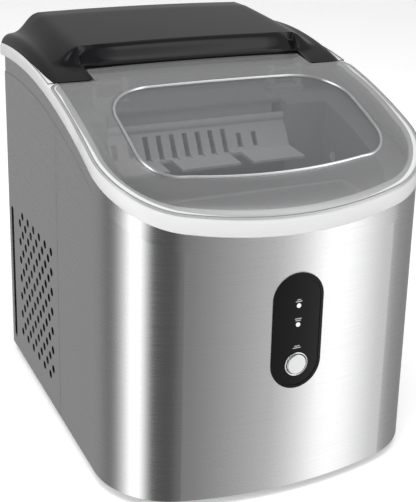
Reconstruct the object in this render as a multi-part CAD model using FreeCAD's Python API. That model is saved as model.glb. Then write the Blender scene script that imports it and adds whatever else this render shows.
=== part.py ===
"""Countertop bullet-ice maker: steel casing, white collar, clear lid, black rear cover.

Frame: X to the user's right, Y to the back, Z up. The origin is on the table, under the middle.
Units are millimetres.
"""
import FreeCAD
import Part
import math
import os

V = FreeCAD.Vector

# ---------------------------------------------------------------- driving dimensions
# casing and collar
WIDTH = 242.0            # overall, across the collar
DEPTH = 300.0            # overall, front of the collar to its back
ROOF_TOP = 257.9         # highest point of the collar
ROOF_R = 460.0           # the collar's top line is one arc, seen from the side
ROOF_PEAK_AHEAD = 44.5   # highest point of that arc, ahead of the steel back
FOOT_H = 6.0             # gap under the casing
SHEET = 1.2              # steel sheet
BACK_T = 1.5             # back panel
CORNER_R = 57.0          # front corners of the casing, seen from above
FRONT_BOW = 25.4         # how far the front bulges over the width
SIDE_LEN = 137.2         # side panels, from the seam to the steel back
SEAM_GAP = 0.4
COLLAR_LAP = 2.0         # collar stands this far outside the steel
COLLAR_TAIL = 16.5       # collar runs this far behind the steel
COLLAR_T = 10.8          # collar band, measured along the arc's radius
COLLAR_SHELF = 9.0       # width of the collar band seen from above
COLLAR_REAR_R = 14.0     # its rear corners
GRIP_FRONT = 92.0        # finger dish in the collar, behind the steel front
GRIP_R = 26.0
GRIP_DEEP = 2.4
PLASTIC_T = 2.5          # usual moulded wall

# clearances
RUN_FIT = 0.05           # radial clearance of every turning fit
SLIDE_GAP = 0.4          # clearance of every sliding fit
SIDE_GAP = 0.5           # clearance beside moving parts
LID_GAP = 0.6            # air line between lid and collar

# vents, feet and back
VENT_R = 3.3
VENT_COLUMNS = 12
VENT_ROWS = 7
VENT_PITCH_Y = 7.9
VENT_PITCH_Z = 16.1
VENT_LOW_Z = 37.8
GROOVE_W = 7.0           # pressed groove near the side panel's rear edge
GROOVE_IN = 10.0
GROOVE_LOW_Z = 18.0
GROOVE_TOP_Z = 130.0
PAN_FLOOR = 3.0
PAN_RIM = 14.0
FOOT_R = 11.0
FOOT_STEM_R = 4.0
FOOT_IN = 27.0           # feet, in from the casing's sides
FOOT_FRONT = 58.0        # behind the steel front
FOOT_REAR = 23.5         # ahead of the steel back
GRILLE_N = 15
GRILLE_PITCH = 9.0
GRILLE_W = 4.0
GRILLE_H = 60.0
GRILLE_Z = 105.0
SCREW_R = 2.0
SCREW_IN = 11.0
SCREW_Z = (20.0, 120.0, 225.0)
INLET_IN = 37.0          # inlet socket, in from the right side
INLET_Z = 34.0
INLET_W = 28.0
INLET_H = 20.0
INLET_WALL = 3.0
DRAIN_IN = 32.0          # drain, in from the left side
DRAIN_Z = 27.0
DRAIN_R = 7.0
DRAIN_TUBE_R = 4.0
DRAIN_PLUG_R = 5.0

# lid and its hinge
LID_RISE = 13.0          # crown of the lid above the collar
LID_LEN = 154.8          # steel front to the lid's rear edge beside the tab
LID_INSET = 0.5          # lid's side, in from the steel
LID_EDGE_R = 6.0
TAB_LEN = 18.0           # hinge tab, behind that edge
TAB_IN = 32.0            # tab's side, in from the steel side
HINGE_BACK = 10.2        # hinge axis, behind the lid's rear edge
HINGE_UP = 5.77          # above the collar's arc
PIN_R = 1.5
KNUCKLE_R = 3.6
KNUCKLE_LEN = 19.0
KNUCKLE_IN = 5.5
EAR_T = 4.0
EAR_R = 3.2
WINDOW_IN = 27.0         # clear window, in from the steel side
WINDOW_BACK = 23.4       # its rear edge, ahead of the lid's rear edge
WINDOW_AHEAD = 29.0      # its front edge, behind the steel front
WINDOW_BOW = 6.2
WINDOW_REAR_R = 36.0
WINDOW_FRONT_R = 25.6
WINDOW_SEAT = 3.0
BEAD_W = 2.1
BEAD_H = 0.9

# rear cover
COVER_LAP = 1.0          # cover's side, outside the steel
COVER_BACK = 0.5         # cover's back, ahead of the collar's
SHOULDER_R = 300.0       # shoulders are one arc, seen from the side
SHOULDER_RISE = 19.1     # their highest point above the collar's
SHOULDER_SHIFT = 8.0     # and behind it
SHOULDER_EDGE_R = 6.0
HUMP_IN = 31.0           # raised middle, in from the steel side
HUMP_FLANK = 20.0
HUMP_DROP = 14.0
HUMP_STEP = 1.0          # the hump's flanks end this far inside the cover's sides
HUMP_SET_BACK = 13.2     # its front edge, behind the hinge tab
HUMP_FRONT_RISE = 20.6   # its front and rear edges above the collar's highest point
HUMP_REAR_RISE = 31.3
HUMP_LEVEL = 8.5         # it is level from here, ahead of the steel back
HUMP_CROWN = 1.3
HUMP_REAR_R = 8.0

# control panel
PANEL_W = 37.0           # a stadium
PANEL_H = 83.0
PANEL_DOWN = 56.7        # its middle, under the collar
PANEL_PROUD = 0.8
PANEL_RIM = 2.0
PANEL_PLUG = 3.3
BUTTON_R = 7.0
BUTTON_DOWN = 24.0       # from the panel's middle
BUTTON_TRAVEL = 1.0
BUTTON_PROUD = 0.8
LED_R = 1.6
LED_UP = (18.3, 4.7)
BOARD_GAP = 10.0
SWITCH_H = 2.0

# ice bin and ice-making pocket
BIN_SIDE = 24.0          # steel side to the inside of the bin
BIN_FRONT = 20.0
BIN_REAR = 14.8          # ahead of the lid's rear edge
BIN_FLOOR_Z = 48.0
BIN_CORNER_IN = 13.0
FLANGE_T = 2.5           # top flange of the liner
FLANGE_TAIL = 8.0
FOAM_T = 5.0
POCKET_IN = 13.0         # pocket's left wall, in from the bin's
POCKET_ENDS = 36.0       # room beyond the end fingers, both together
POCKET_BACK = 49.2       # its rear wall, behind the lid's rear edge
POCKET_DOWN = 92.9       # its floor, under the collar's highest point
DECK_AHEAD = 3.8         # the flange covers the pocket from here back, ahead of the lid's rear edge
FINGER_N = 9
FINGER_PITCH = 13.5
FINGER_R = 4.0
FINGER_LEN = 32.0
FINGER_BACK = 9.2        # behind the lid's rear edge
EVAP_DOWN = 31.9         # underside of the evaporator plate, under the collar's highest point
EVAP_T = 4.0
EVAP_DEPTH = 15.0
EVAP_END = 9.0
PIPE_R = 3.0
TRAY_AXIS_BACK = 14.0    # behind the fingers
TRAY_AXIS_DOWN = 18.0    # under the evaporator plate
TRAY_DEPTH = 24.0
TRAY_H = 20.0
TRAY_WALL = 1.5
TRAY_LIP_DOWN = 4.0
TRAY_END = 4.0
SHAFT_R = 3.0
MOTOR_W = 26.0
MOTOR_HALF = 19.0
RAKE_AHEAD = 17.5        # rake's axis, ahead of the fingers
RAKE_T = 1.8
RAKE_PIN_R = 2.5
RAKE_BARREL_R = 3.4
RAKE_SLOTS = 7
RAKE_PITCH = 10.3
RAKE_SLOT_W = 4.0

# basket, float and sensors
BASKET_GAP = 7.0         # to the bin's side and front
BASKET_BACK = 42.0       # to the bin's rear wall
BASKET_DOWN = 9.2        # its rim, under the liner's top at the basket's front
BASKET_H = 58.0
BASKET_WALL = 2.0
BASKET_CORNER_IN = 8.0
BASKET_PITCH_X = 16.0
BASKET_PITCH_Y = 12.0
PORT_AHEAD = 16.0        # pump port, float and sensors, ahead of the bin's rear wall
SENSOR_R = 4.0
SENSOR_Z_DOWN = 61.9
FLOAT_X = 40.0
FLOAT_R = 9.0
FLOAT_H = 14.0
STEM_R = 2.0
STEM_H = 34.0

# water and refrigeration
PUMP_X = -20.0
PUMP_R = 15.0
PUMP_LOW = 18.0
PUMP_H = 22.0
PUMP_PORT_R = 4.0
HOSE_R = 4.0
HOSE_BACK = 7.2
HOSE_BEND = 8.0
FAN_AHEAD = 76.5         # fan's axis, ahead of the steel back
FAN_Z = 82.0
FAN_R = 37.0
FAN_BLADES = 7
FAN_SHAFT_R = 1.5
FAN_MOTOR_R = 14.0
FAN_MOTOR_LEN = 14.0
SHROUD_IN = 7.0
SHROUD_T = 15.0
COND_GAP = 17.0          # behind the shroud
COND_T = 22.0
COND_LEN = 78.0
COND_LOW_Z = 30.0
COND_TOP_Z = 134.0
COND_FINS = 17
COND_ROWS = 5
COMP_IN = 73.0           # compressor's axis, in from the steel side
COMP_AHEAD = 53.5        # and ahead of the steel back
COMP_R = 40.0
COMP_H = 104.0
GAS_BEND = 7.0
BOARD_IN = 8.0

# ---------------------------------------------------------------- derived places
HALF_W = WIDTH / 2 - COLLAR_LAP
FRONT_Y = -DEPTH / 2 + COLLAR_LAP
REAR_Y = DEPTH / 2 - COLLAR_TAIL
ROOF_Y = REAR_Y - ROOF_PEAK_AHEAD
ROOF_Z = ROOF_TOP - ROOF_R
FRONT_R = (HALF_W ** 2 + FRONT_BOW ** 2) / (2 * FRONT_BOW)
FRONT_CY = FRONT_Y + FRONT_R
CORNER_X = HALF_W - CORNER_R
CORNER_Y = FRONT_CY - math.sqrt((FRONT_R - CORNER_R) ** 2 - CORNER_X ** 2)
SEAM_Y = REAR_Y - SIDE_LEN
SEAT_R = ROOF_R - COLLAR_T           # underside of the collar
LID_R = ROOF_R + LID_RISE
TALL = 2 * ROOF_TOP                  # any cut that goes right through


def roof_z(radius, y):
    """Height of the roof arc of this radius at a given Y."""
    return ROOF_Z + math.sqrt(radius ** 2 - (y - ROOF_Y) ** 2)


def front_y(x):
    """Y of the casing's bowed front at a given X."""
    return FRONT_CY - math.sqrt(FRONT_R ** 2 - x ** 2)


PAN_TOP = FOOT_H + PAN_FLOOR
FOOT_PLACES = [(x, y) for x in (-HALF_W + FOOT_IN, HALF_W - FOOT_IN)
               for y in (FRONT_Y + FOOT_FRONT, REAR_Y - FOOT_REAR)]
BACK_SCREWS = [(x, z) for x in (-HALF_W + SCREW_IN, HALF_W - SCREW_IN) for z in SCREW_Z]
INLET_X = HALF_W - INLET_IN
DRAIN_X = -HALF_W + DRAIN_IN

LIP_Y = FRONT_Y + LID_LEN
TAB_Y = LIP_Y + TAB_LEN
TAB_X = HALF_W - TAB_IN
HINGE_Y = LIP_Y + HINGE_BACK
HINGE_Z = roof_z(ROOF_R, HINGE_Y) + HINGE_UP
KNUCKLE_X1 = TAB_X - KNUCKLE_IN
KNUCKLE_X0 = KNUCKLE_X1 - KNUCKLE_LEN
WINDOW_X = HALF_W - WINDOW_IN
WINDOW_REAR_Y = LIP_Y - WINDOW_BACK
WINDOW_FRONT_Y = FRONT_Y + WINDOW_AHEAD

COVER_REAR_Y = DEPTH / 2 - COVER_BACK
SHOULDER_Y = ROOF_Y + SHOULDER_SHIFT
SHOULDER_TOP = ROOF_TOP + SHOULDER_RISE
HUMP_X = HALF_W - HUMP_IN
HUMP_FRONT_Y = TAB_Y + HUMP_SET_BACK
HUMP_LEVEL_Y = REAR_Y - HUMP_LEVEL
HUMP_FRONT_Z = ROOF_TOP + HUMP_FRONT_RISE
HUMP_REAR_Z = ROOF_TOP + HUMP_REAR_RISE

PANEL_Z = roof_z(SEAT_R, FRONT_Y) - PANEL_DOWN
BUTTON_Z = PANEL_Z - BUTTON_DOWN
LED_Z = [PANEL_Z + up for up in LED_UP]
BOARD_Y = front_y(0) + BOARD_GAP

BIN_X = HALF_W - BIN_SIDE
BIN_FRONT_Y = FRONT_Y + BIN_FRONT
BIN_REAR_Y = LIP_Y - BIN_REAR
BIN_CORNER_R = CORNER_R - BIN_CORNER_IN
FINGER_SPAN = (FINGER_N - 1) * FINGER_PITCH
POCKET_X0 = -BIN_X + POCKET_IN
POCKET_X1 = POCKET_X0 + FINGER_SPAN + POCKET_ENDS
POCKET_REAR_Y = LIP_Y + POCKET_BACK
POCKET_FLOOR_Z = ROOF_TOP - POCKET_DOWN
DECK_Y = LIP_Y - DECK_AHEAD
FINGER_X0 = POCKET_X0 + POCKET_ENDS / 2
FINGER_Y = LIP_Y + FINGER_BACK
EVAP_Z = ROOF_TOP - EVAP_DOWN
TRAY_AXIS_Y = FINGER_Y + TRAY_AXIS_BACK
TRAY_AXIS_Z = EVAP_Z - TRAY_AXIS_DOWN
RAKE_AXIS_Y = FINGER_Y - RAKE_AHEAD
RAKE_AXIS_Z = EVAP_Z

BASKET_X = BIN_X - BASKET_GAP
BASKET_FRONT_Y = BIN_FRONT_Y + BASKET_GAP
BASKET_REAR_Y = BIN_REAR_Y - BASKET_BACK
BASKET_TOP_Z = roof_z(SEAT_R, BASKET_FRONT_Y) - BASKET_DOWN
BASKET_LOW_Z = BASKET_TOP_Z - BASKET_H
PORT_Y = BIN_REAR_Y - PORT_AHEAD
DRAIN_PORT_Y = BIN_REAR_Y - 52.0
SENSOR_Z = ROOF_TOP - SENSOR_Z_DOWN

PUMP_TOP = PUMP_LOW + PUMP_H
HOSE_Y = LIP_Y + HOSE_BACK
FAN_Y = REAR_Y - FAN_AHEAD
SHROUD_X0 = -HALF_W + SHROUD_IN
SHROUD_X1 = SHROUD_X0 + SHROUD_T
COND_X0 = SHROUD_X1 + COND_GAP
COND_X1 = COND_X0 + COND_T
COND_Y0 = FAN_Y - COND_LEN / 2
COND_Y1 = FAN_Y + COND_LEN / 2
COMP_X = HALF_W - COMP_IN
COMP_Y = REAR_Y - COMP_AHEAD
COMP_LOW = PAN_TOP + 10.0
GROMMETS = [(COMP_X + sx * (COMP_R - 3), COMP_Y + sy * 23) for sx in (-1, 1) for sy in (-1, 1)]


# ---------------------------------------------------------------- shape helpers
def box(x0, x1, y0, y1, z0, z1):
    return Part.makeBox(x1 - x0, y1 - y0, z1 - z0, V(x0, y0, z0))


def cyl_x(r, x0, x1, y, z):
    return Part.makeCylinder(r, x1 - x0, V(x0, y, z), V(1, 0, 0))


def cyl_y(r, y0, y1, x, z):
    return Part.makeCylinder(r, y1 - y0, V(x, y0, z), V(0, 1, 0))


def cyl_z(r, z0, z1, x, y):
    return Part.makeCylinder(r, z1 - z0, V(x, y, z0), V(0, 0, 1))


def group(parts):
    return Part.makeCompound(parts)


def fuse(parts):
    whole = parts[0].multiFuse(parts[1:]) if len(parts) > 1 else parts[0]
    return whole.removeSplitter()


def edges_along(block, axis):
    """Straight edges of a block that run along one axis."""
    return [e for e in block.Edges if abs(e.tangentAt(e.FirstParameter).dot(axis)) > 0.99]


def round_box(x0, x1, y0, y1, z0, z1, r, axis=V(0, 0, 1)):
    """Block with the four edges along one axis rounded."""
    block = box(x0, x1, y0, y1, z0, z1)
    return block.makeFillet(r, edges_along(block, axis))


def bowl_prism(x, y0, y1, z0, z1, front_r):
    """Block, symmetrical about the middle, with two round corners in front."""
    block = box(-x, x, y0, y1, z0, z1)
    front = [e for e in edges_along(block, V(0, 0, 1)) if e.CenterOfMass.y < y0 + 1]
    return block.makeFillet(front_r, front)


def roof(radius):
    """Everything under the roof arc of this radius."""
    return cyl_x(radius, -WIDTH, WIDTH, ROOF_Y, ROOF_Z)


def plan_wire(offset, rear_y, rear_r=0.0):
    """Casing outline seen from above, moved outwards by offset and closed at rear_y."""
    w, rc, rf = HALF_W + offset, CORNER_R + offset, FRONT_R + offset
    reach = math.hypot(CORNER_X, FRONT_CY - CORNER_Y)
    tx, ty = CORNER_X * rf / reach, FRONT_CY - (FRONT_CY - CORNER_Y) * rf / reach
    half = math.atan2(ty - CORNER_Y, tx - CORNER_X) / 2
    mx, my = CORNER_X + rc * math.cos(half), CORNER_Y + rc * math.sin(half)
    edges = [Part.Arc(V(-tx, ty, 0), V(0, FRONT_CY - rf, 0), V(tx, ty, 0)).toShape(),
             Part.Arc(V(tx, ty, 0), V(mx, my, 0), V(w, CORNER_Y, 0)).toShape()]
    if rear_r > 0:
        k = rear_r * (1 - math.sqrt(0.5))
        a, b = V(w, rear_y - rear_r, 0), V(w - rear_r, rear_y, 0)
        c, d = V(-w + rear_r, rear_y, 0), V(-w, rear_y - rear_r, 0)
        edges += [Part.makeLine(V(w, CORNER_Y, 0), a),
                  Part.Arc(a, V(w - k, rear_y - k, 0), b).toShape(),
                  Part.makeLine(b, c),
                  Part.Arc(c, V(-w + k, rear_y - k, 0), d).toShape(),
                  Part.makeLine(d, V(-w, CORNER_Y, 0))]
    else:
        edges += [Part.makeLine(V(w, CORNER_Y, 0), V(w, rear_y, 0)),
                  Part.makeLine(V(w, rear_y, 0), V(-w, rear_y, 0)),
                  Part.makeLine(V(-w, rear_y, 0), V(-w, CORNER_Y, 0))]
    edges.append(Part.Arc(V(-w, CORNER_Y, 0), V(-mx, my, 0), V(-tx, ty, 0)).toShape())
    return Part.Wire(edges)


def plan_prism(offset, rear_y, z0, z1, rear_r=0.0):
    face = Part.Face(plan_wire(offset, rear_y, rear_r))
    face.translate(V(0, 0, z0))
    return face.extrude(V(0, 0, z1 - z0))


def stadium_y(w, h, z, y0, y1, x=0.0):
    """Upright stadium, extruded along Y."""
    r = w / 2
    low, top = z - h / 2 + r, z + h / 2 - r
    return fuse([box(x - r, x + r, y0, y1, low, top), cyl_y(r, y0, y1, x, low), cyl_y(r, y0, y1, x, top)])


def front_skin(inner, outer):
    """Slab that follows the bowed front between two offsets."""
    big = cyl_z(FRONT_R + outer, 0, TALL, 0, FRONT_CY)
    return big.cut(cyl_z(FRONT_R + inner, -1, TALL + 1, 0, FRONT_CY))


def tube(points, radius, bend):
    """Round bar along straight runs joined by tangent arcs of one bend radius."""
    pts = [V(*p) for p in points]
    edges, start = [], pts[0]
    for before, corner, after in zip(pts, pts[1:], pts[2:]):
        a = (before - corner).normalize()
        b = (after - corner).normalize()
        turn = math.pi - a.getAngle(b)
        cut = bend * math.tan(turn / 2)
        p, q = corner + a * cut, corner + b * cut
        inward = (a + b).normalize()
        mid = corner + inward * (bend / math.cos(turn / 2) - bend)
        edges.append(Part.makeLine(start, p))
        edges.append(Part.Arc(p, mid, q).toShape())
        start = q
    edges.append(Part.makeLine(start, pts[-1]))
    ring = Part.Wire(Part.makeCircle(radius, pts[0], pts[1] - pts[0]))
    return Part.Wire(edges).makePipeShell([ring], True, True)


# ---------------------------------------------------------------- casing
def casing_shell():
    shell = plan_prism(0, REAR_Y, FOOT_H, TALL).cut(plan_prism(-SHEET, REAR_Y + 1, 0, TALL + 1))
    return shell.common(roof(SEAT_R))


def front_wrap():
    wrap = casing_shell().common(box(-WIDTH, WIDTH, -DEPTH, SEAM_Y - SEAM_GAP / 2, 0, TALL))
    hole = stadium_y(PANEL_W - 2 * PANEL_PLUG + 0.6, PANEL_H - 2 * PANEL_PLUG + 0.6, PANEL_Z, -DEPTH, 0)
    return wrap.cut(hole)


def vent_field(side):
    """Round holes in staggered columns, behind them the fan on the left."""
    x = side * HALF_W
    first_y = FAN_Y - (VENT_COLUMNS - 1) * VENT_PITCH_Y / 2
    holes = []
    for column in range(VENT_COLUMNS):
        y = first_y + column * VENT_PITCH_Y
        drop = column % 2 * VENT_PITCH_Z / 2
        for row in range(VENT_ROWS):
            holes.append(cyl_x(VENT_R, x - 5, x + 5, y, VENT_LOW_Z + row * VENT_PITCH_Z - drop))
    return group(holes)


def side_panel(side):
    face = side * HALF_W
    x0, x1 = sorted((0, side * WIDTH))
    panel = casing_shell().common(box(x0, x1, SEAM_Y + SEAM_GAP / 2, DEPTH, 0, TALL))
    y, r = REAR_Y - GROOVE_IN, GROOVE_W / 2
    x0, x1 = sorted((face - side * SHEET / 2, face + side))
    groove = fuse([box(x0, x1, y - r, y + r, GROOVE_LOW_Z, GROOVE_TOP_Z),
                   cyl_x(r, x0, x1, y, GROOVE_LOW_Z), cyl_x(r, x0, x1, y, GROOVE_TOP_Z)])
    return panel.cut(vent_field(side)).cut(groove)


def back_panel():
    inner = HALF_W - SHEET
    plate = box(-inner, inner, REAR_Y - BACK_T, REAR_Y, FOOT_H, TALL).common(roof(SEAT_R))
    half_w, half_h = INLET_W / 2, INLET_H / 2
    cuts = [box(INLET_X - half_w, INLET_X + half_w, 0, DEPTH, INLET_Z - half_h, INLET_Z + half_h),
            cyl_y(DRAIN_R + 2, 0, DEPTH, DRAIN_X, DRAIN_Z)]
    for i in range(GRILLE_N):
        x = (i - (GRILLE_N - 1) / 2) * GRILLE_PITCH
        cuts.append(stadium_y(GRILLE_W, GRILLE_H + GRILLE_W, GRILLE_Z, 0, DEPTH, x))
    cuts += [cyl_y(SCREW_R, 0, DEPTH, x, z) for x, z in BACK_SCREWS]
    return plate.cut(group(cuts))


def back_screws():
    screws = []
    for x, z in BACK_SCREWS:
        head = cyl_y(SCREW_R * 2, REAR_Y, REAR_Y + 2, x, z)
        shank = cyl_y(SCREW_R, REAR_Y - 8, REAR_Y, x, z)
        slot_y, reach, half = REAR_Y + 1.2, SCREW_R * 1.2, 0.4
        upright = box(x - half, x + half, slot_y, slot_y + 2, z - reach, z + reach)
        level = box(x - reach, x + reach, slot_y, slot_y + 2, z - half, z + half)
        screws.append(fuse([head, shank]).cut(fuse([upright, level])))
    return group(screws)


def base_pan():
    rear = REAR_Y - BACK_T
    pan = plan_prism(-SHEET, rear, FOOT_H, PAN_TOP + PAN_RIM)
    hollow = plan_prism(-SHEET - PLASTIC_T, rear - PLASTIC_T, PAN_TOP, TALL)
    holes = [cyl_z(FOOT_STEM_R, 0, PAN_TOP + 1, x, y) for x, y in FOOT_PLACES]
    half = INLET_W / 2 + 3
    behind = (rear - 20, rear + 1)
    holes += [box(INLET_X - half, INLET_X + half, *behind, PAN_TOP + 5, TALL),
              cyl_y(DRAIN_R + 3, *behind, DRAIN_X, DRAIN_Z)]
    holes += [cyl_y(SCREW_R, *behind, x, z) for x, z in BACK_SCREWS]
    return pan.cut(hollow).cut(group(holes))


def rubber_feet():
    feet = []
    for x, y in FOOT_PLACES:
        pad = cyl_z(FOOT_R, 0, FOOT_H, x, y)
        pad = pad.makeFillet(1.0, [e for e in pad.Edges if e.BoundBox.ZMax < 0.1])
        feet.append(fuse([pad, cyl_z(FOOT_STEM_R, FOOT_H, PAN_TOP + 3, x, y)]))
    return group(feet)


# ---------------------------------------------------------------- collar
def top_collar():
    rear = DEPTH / 2
    outer = plan_prism(COLLAR_LAP, rear, 0, TALL, COLLAR_REAR_R)
    inner = plan_prism(COLLAR_LAP - COLLAR_SHELF, REAR_Y - 5, -1, TALL + 1, COLLAR_REAR_R - COLLAR_SHELF)
    band = outer.cut(inner).common(roof(ROOF_R)).cut(roof(SEAT_R))
    y = FRONT_Y + GRIP_FRONT
    z = roof_z(ROOF_R, y)
    dishes = []
    for side in (-1, 1):
        ball = Part.makeSphere(GRIP_R, V(side * (WIDTH / 2 + GRIP_R - GRIP_DEEP), y, z + 2))
        dishes.append(ball.common(box(-WIDTH, WIDTH, -DEPTH, DEPTH, z - COLLAR_T / 2, TALL)))
    return band.cut(group(dishes))


# ---------------------------------------------------------------- rear cover
def shoulder_form(inset):
    """Low part of the cover: one arc seen from the side, with rounded sides."""
    body = plan_prism(COVER_LAP - inset, COVER_REAR_Y - inset, 0, TALL, COLLAR_REAR_R - inset)
    arc = cyl_x(SHOULDER_R - inset, -WIDTH, WIDTH, SHOULDER_Y, SHOULDER_TOP - SHOULDER_R)
    body = body.common(arc)
    low = roof_z(ROOF_R, SHOULDER_Y) - 60
    body = body.cut(box(-WIDTH, WIDTH, -DEPTH, LIP_Y - 20, 0, TALL))
    body = body.cut(box(-WIDTH, WIDTH, -DEPTH, DEPTH, 0, low))
    crest = [e for e in body.Edges if e.BoundBox.ZMin > low + 1 and e.BoundBox.YMax > LIP_Y - 19]
    return body.makeFillet(SHOULDER_EDGE_R - inset, crest)


def hump_section(inset, y, edge_z):
    """Raised middle, cut across: two sloping flanks and a crowned top."""
    top, foot = HUMP_X - inset, HUMP_X + HUMP_FLANK - inset
    z1, z0 = edge_z - inset, edge_z - HUMP_DROP - inset
    low = ROOF_TOP - 60
    flank = HUMP_X + 2 * HUMP_FLANK - inset
    z_low = z0 - HUMP_DROP
    corners = [V(-flank, y, z_low), V(-flank, y, low), V(flank, y, low), V(flank, y, z_low),
               V(foot, y, z0), V(top, y, z1)]
    edges = [Part.makeLine(a, b) for a, b in zip(corners, corners[1:])]
    edges.append(Part.Arc(V(top, y, z1), V(0, y, z1 + HUMP_CROWN), V(-top, y, z1)).toShape())
    edges += [Part.makeLine(V(-top, y, z1), V(-foot, y, z0)), Part.makeLine(V(-foot, y, z0), corners[0])]
    return Part.Face(Part.Wire(edges))


def hump_form(inset):
    """The raised middle climbs towards the back, then runs level to a rounded edge."""
    climb = HUMP_REAR_Z - HUMP_FRONT_Z
    run = HUMP_LEVEL_Y - HUMP_FRONT_Y
    ahead = HUMP_FRONT_Y - LIP_Y
    start = hump_section(inset, LIP_Y, HUMP_FRONT_Z - climb * ahead / run)
    rising = start.extrude(V(0, run + ahead, climb * (run + ahead) / run))
    rear = COVER_REAR_Y - inset
    level = hump_section(inset, HUMP_LEVEL_Y, HUMP_REAR_Z).extrude(V(0, rear - HUMP_LEVEL_Y, 0))
    top = HUMP_REAR_Z + HUMP_CROWN - inset
    foot_z = roof_z(LID_R, TAB_Y) - inset
    slope = (HUMP_FRONT_Z - roof_z(LID_R, TAB_Y)) / HUMP_SET_BACK
    r = HUMP_REAR_R - inset
    k = r * (1 - math.sqrt(0.5))
    low = ROOF_TOP - 60
    y0 = TAB_Y - (foot_z - low) / slope
    crest_y = TAB_Y + (top - foot_z) / slope
    edges = [Part.makeLine(V(0, y0, low), V(0, crest_y, top)),
             Part.makeLine(V(0, crest_y, top), V(0, rear - r, top)),
             Part.Arc(V(0, rear - r, top), V(0, rear - k, top - k), V(0, rear, top - r)).toShape(),
             Part.makeLine(V(0, rear, top - r), V(0, rear, low)),
             Part.makeLine(V(0, rear, low), V(0, y0, low))]
    side = Part.Face(Part.Wire(edges))
    side.translate(V(-WIDTH, 0, 0))
    whole = rising.fuse(level).common(side.extrude(V(2 * WIDTH, 0, 0)))
    plan = plan_prism(COVER_LAP - inset - HUMP_STEP, rear, 0, TALL, COLLAR_REAR_R - inset)
    return whole.common(plan)


def hinge_sweep_r():
    """Radius swept by the rear edge of the hinge tab, plus clearance."""
    return math.hypot(TAB_Y - HINGE_Y, roof_z(LID_R, TAB_Y) - HINGE_Z) + SIDE_GAP


def rear_cover():
    form = shoulder_form(0).fuse(hump_form(0)).cut(roof(ROOF_R))
    form = form.cut(shoulder_form(PLASTIC_T)).cut(hump_form(PLASTIC_T))
    inside = TAB_X + SIDE_GAP
    ahead = fuse([box(-WIDTH, WIDTH, -DEPTH, LIP_Y + SIDE_GAP, 0, TALL),
                  box(-inside, inside, -DEPTH, TAB_Y + SIDE_GAP, 0, TALL)])
    relief = cyl_x(hinge_sweep_r(), -inside, inside, HINGE_Y, HINGE_Z)
    return form.cut(ahead).cut(relief)


# ---------------------------------------------------------------- lid
def window_prism(grow, z0, z1):
    """Window outline: a rounded rectangle whose front edge bows like the casing."""
    x, y0, y1 = WINDOW_X + grow, WINDOW_FRONT_Y - grow, WINDOW_REAR_Y + grow
    disc = Part.makeCylinder(FRONT_R, z1 - z0, V(0, y0 + FRONT_R - WINDOW_BOW, z0))
    block = box(-x, x, y0 - BIN_X, y1, z0, z1).common(disc)
    upright = edges_along(block, V(0, 0, 1))
    rear = [e for e in upright if e.CenterOfMass.y > y1 - 1]
    block = block.makeFillet(WINDOW_REAR_R + grow, rear)
    front = [e for e in edges_along(block, V(0, 0, 1))
             if abs(e.CenterOfMass.x) > x - 1 and e.CenterOfMass.y < (y0 + y1) / 2]
    return block.makeFillet(WINDOW_FRONT_R + grow, front)


def lid_plan(inset, z0, z1):
    """Lid outline seen from above, with the hinge tab in the middle of its back edge."""
    body = plan_prism(-inset, LIP_Y - inset, z0, z1)
    tab = box(-TAB_X + inset, TAB_X - inset, LIP_Y - 40, TAB_Y - inset, z0, z1)
    return body.fuse(tab).removeSplitter()


def lid_side_relief():
    """Rounds the lid's rear edge beside the tab about the hinge, so that it clears the cover."""
    gap_y = LIP_Y + SIDE_GAP
    r = math.hypot(gap_y - HINGE_Y, roof_z(LID_R, gap_y) - HINGE_Z) + SIDE_GAP / 2
    cuts = []
    for side in (-1, 1):
        x0, x1 = sorted((side * (TAB_X - SIDE_GAP), side * WIDTH))
        cuts.append(cyl_x(r, x0, x1, HINGE_Y, HINGE_Z))
        cuts.append(box(x0, x1, HINGE_Y - r, HINGE_Y, 0, HINGE_Z))
    return group(cuts)


def knuckle_spans():
    return [(-KNUCKLE_X1, -KNUCKLE_X0), (KNUCKLE_X0, KNUCKLE_X1)]


def lid_shell():
    outer = lid_plan(LID_INSET, 0, TALL).common(roof(LID_R))
    rim = [e for e in outer.Edges
           if e.CenterOfMass.z > roof_z(ROOF_R, e.CenterOfMass.y) + 3 and e.CenterOfMass.y < LIP_Y - 1]
    outer = outer.makeFillet(LID_EDGE_R, rim).cut(roof(ROOF_R + LID_GAP))
    inner = lid_plan(LID_INSET + PLASTIC_T, 0, TALL).common(roof(LID_R - PLASTIC_T))
    rebate = window_prism(0, 0, TALL).cut(roof(LID_R - PLASTIC_T / 2))
    shell = outer.cut(inner).cut(window_prism(-WINDOW_SEAT, 0, TALL)).cut(rebate)
    under = roof(LID_R - PLASTIC_T)
    rear_trim = box(-TAB_X - 1, TAB_X + 1, LIP_Y - PLASTIC_T - 0.7, DEPTH, 0, TALL).common(under)
    knuckles, bores = [], []
    for x0, x1 in knuckle_spans():
        web = box(x0, x1, HINGE_Y - 2.5, HINGE_Y + 2.5, HINGE_Z, TALL).common(roof(LID_R - PLASTIC_T / 2))
        knuckles.append(cyl_x(KNUCKLE_R, x0, x1, HINGE_Y, HINGE_Z).fuse(web))
        bores.append(cyl_x(PIN_R + RUN_FIT, x0 - 1, x1 + 1, HINGE_Y, HINGE_Z))
    return fuse([shell.cut(rear_trim).cut(lid_side_relief())] + knuckles).cut(group(bores))


def lid_window():
    """Clear pane in the lid's rebate, with a raised bead round it."""
    pane = window_prism(-0.1, 0, TALL).common(roof(LID_R)).cut(roof(LID_R - PLASTIC_T / 2))
    ring = window_prism(-0.1, 0, TALL).cut(window_prism(-0.1 - BEAD_W, -1, TALL + 1))
    bead = ring.common(roof(LID_R + BEAD_H)).cut(roof(LID_R - 0.2))
    return pane.fuse(bead).removeSplitter()


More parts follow.
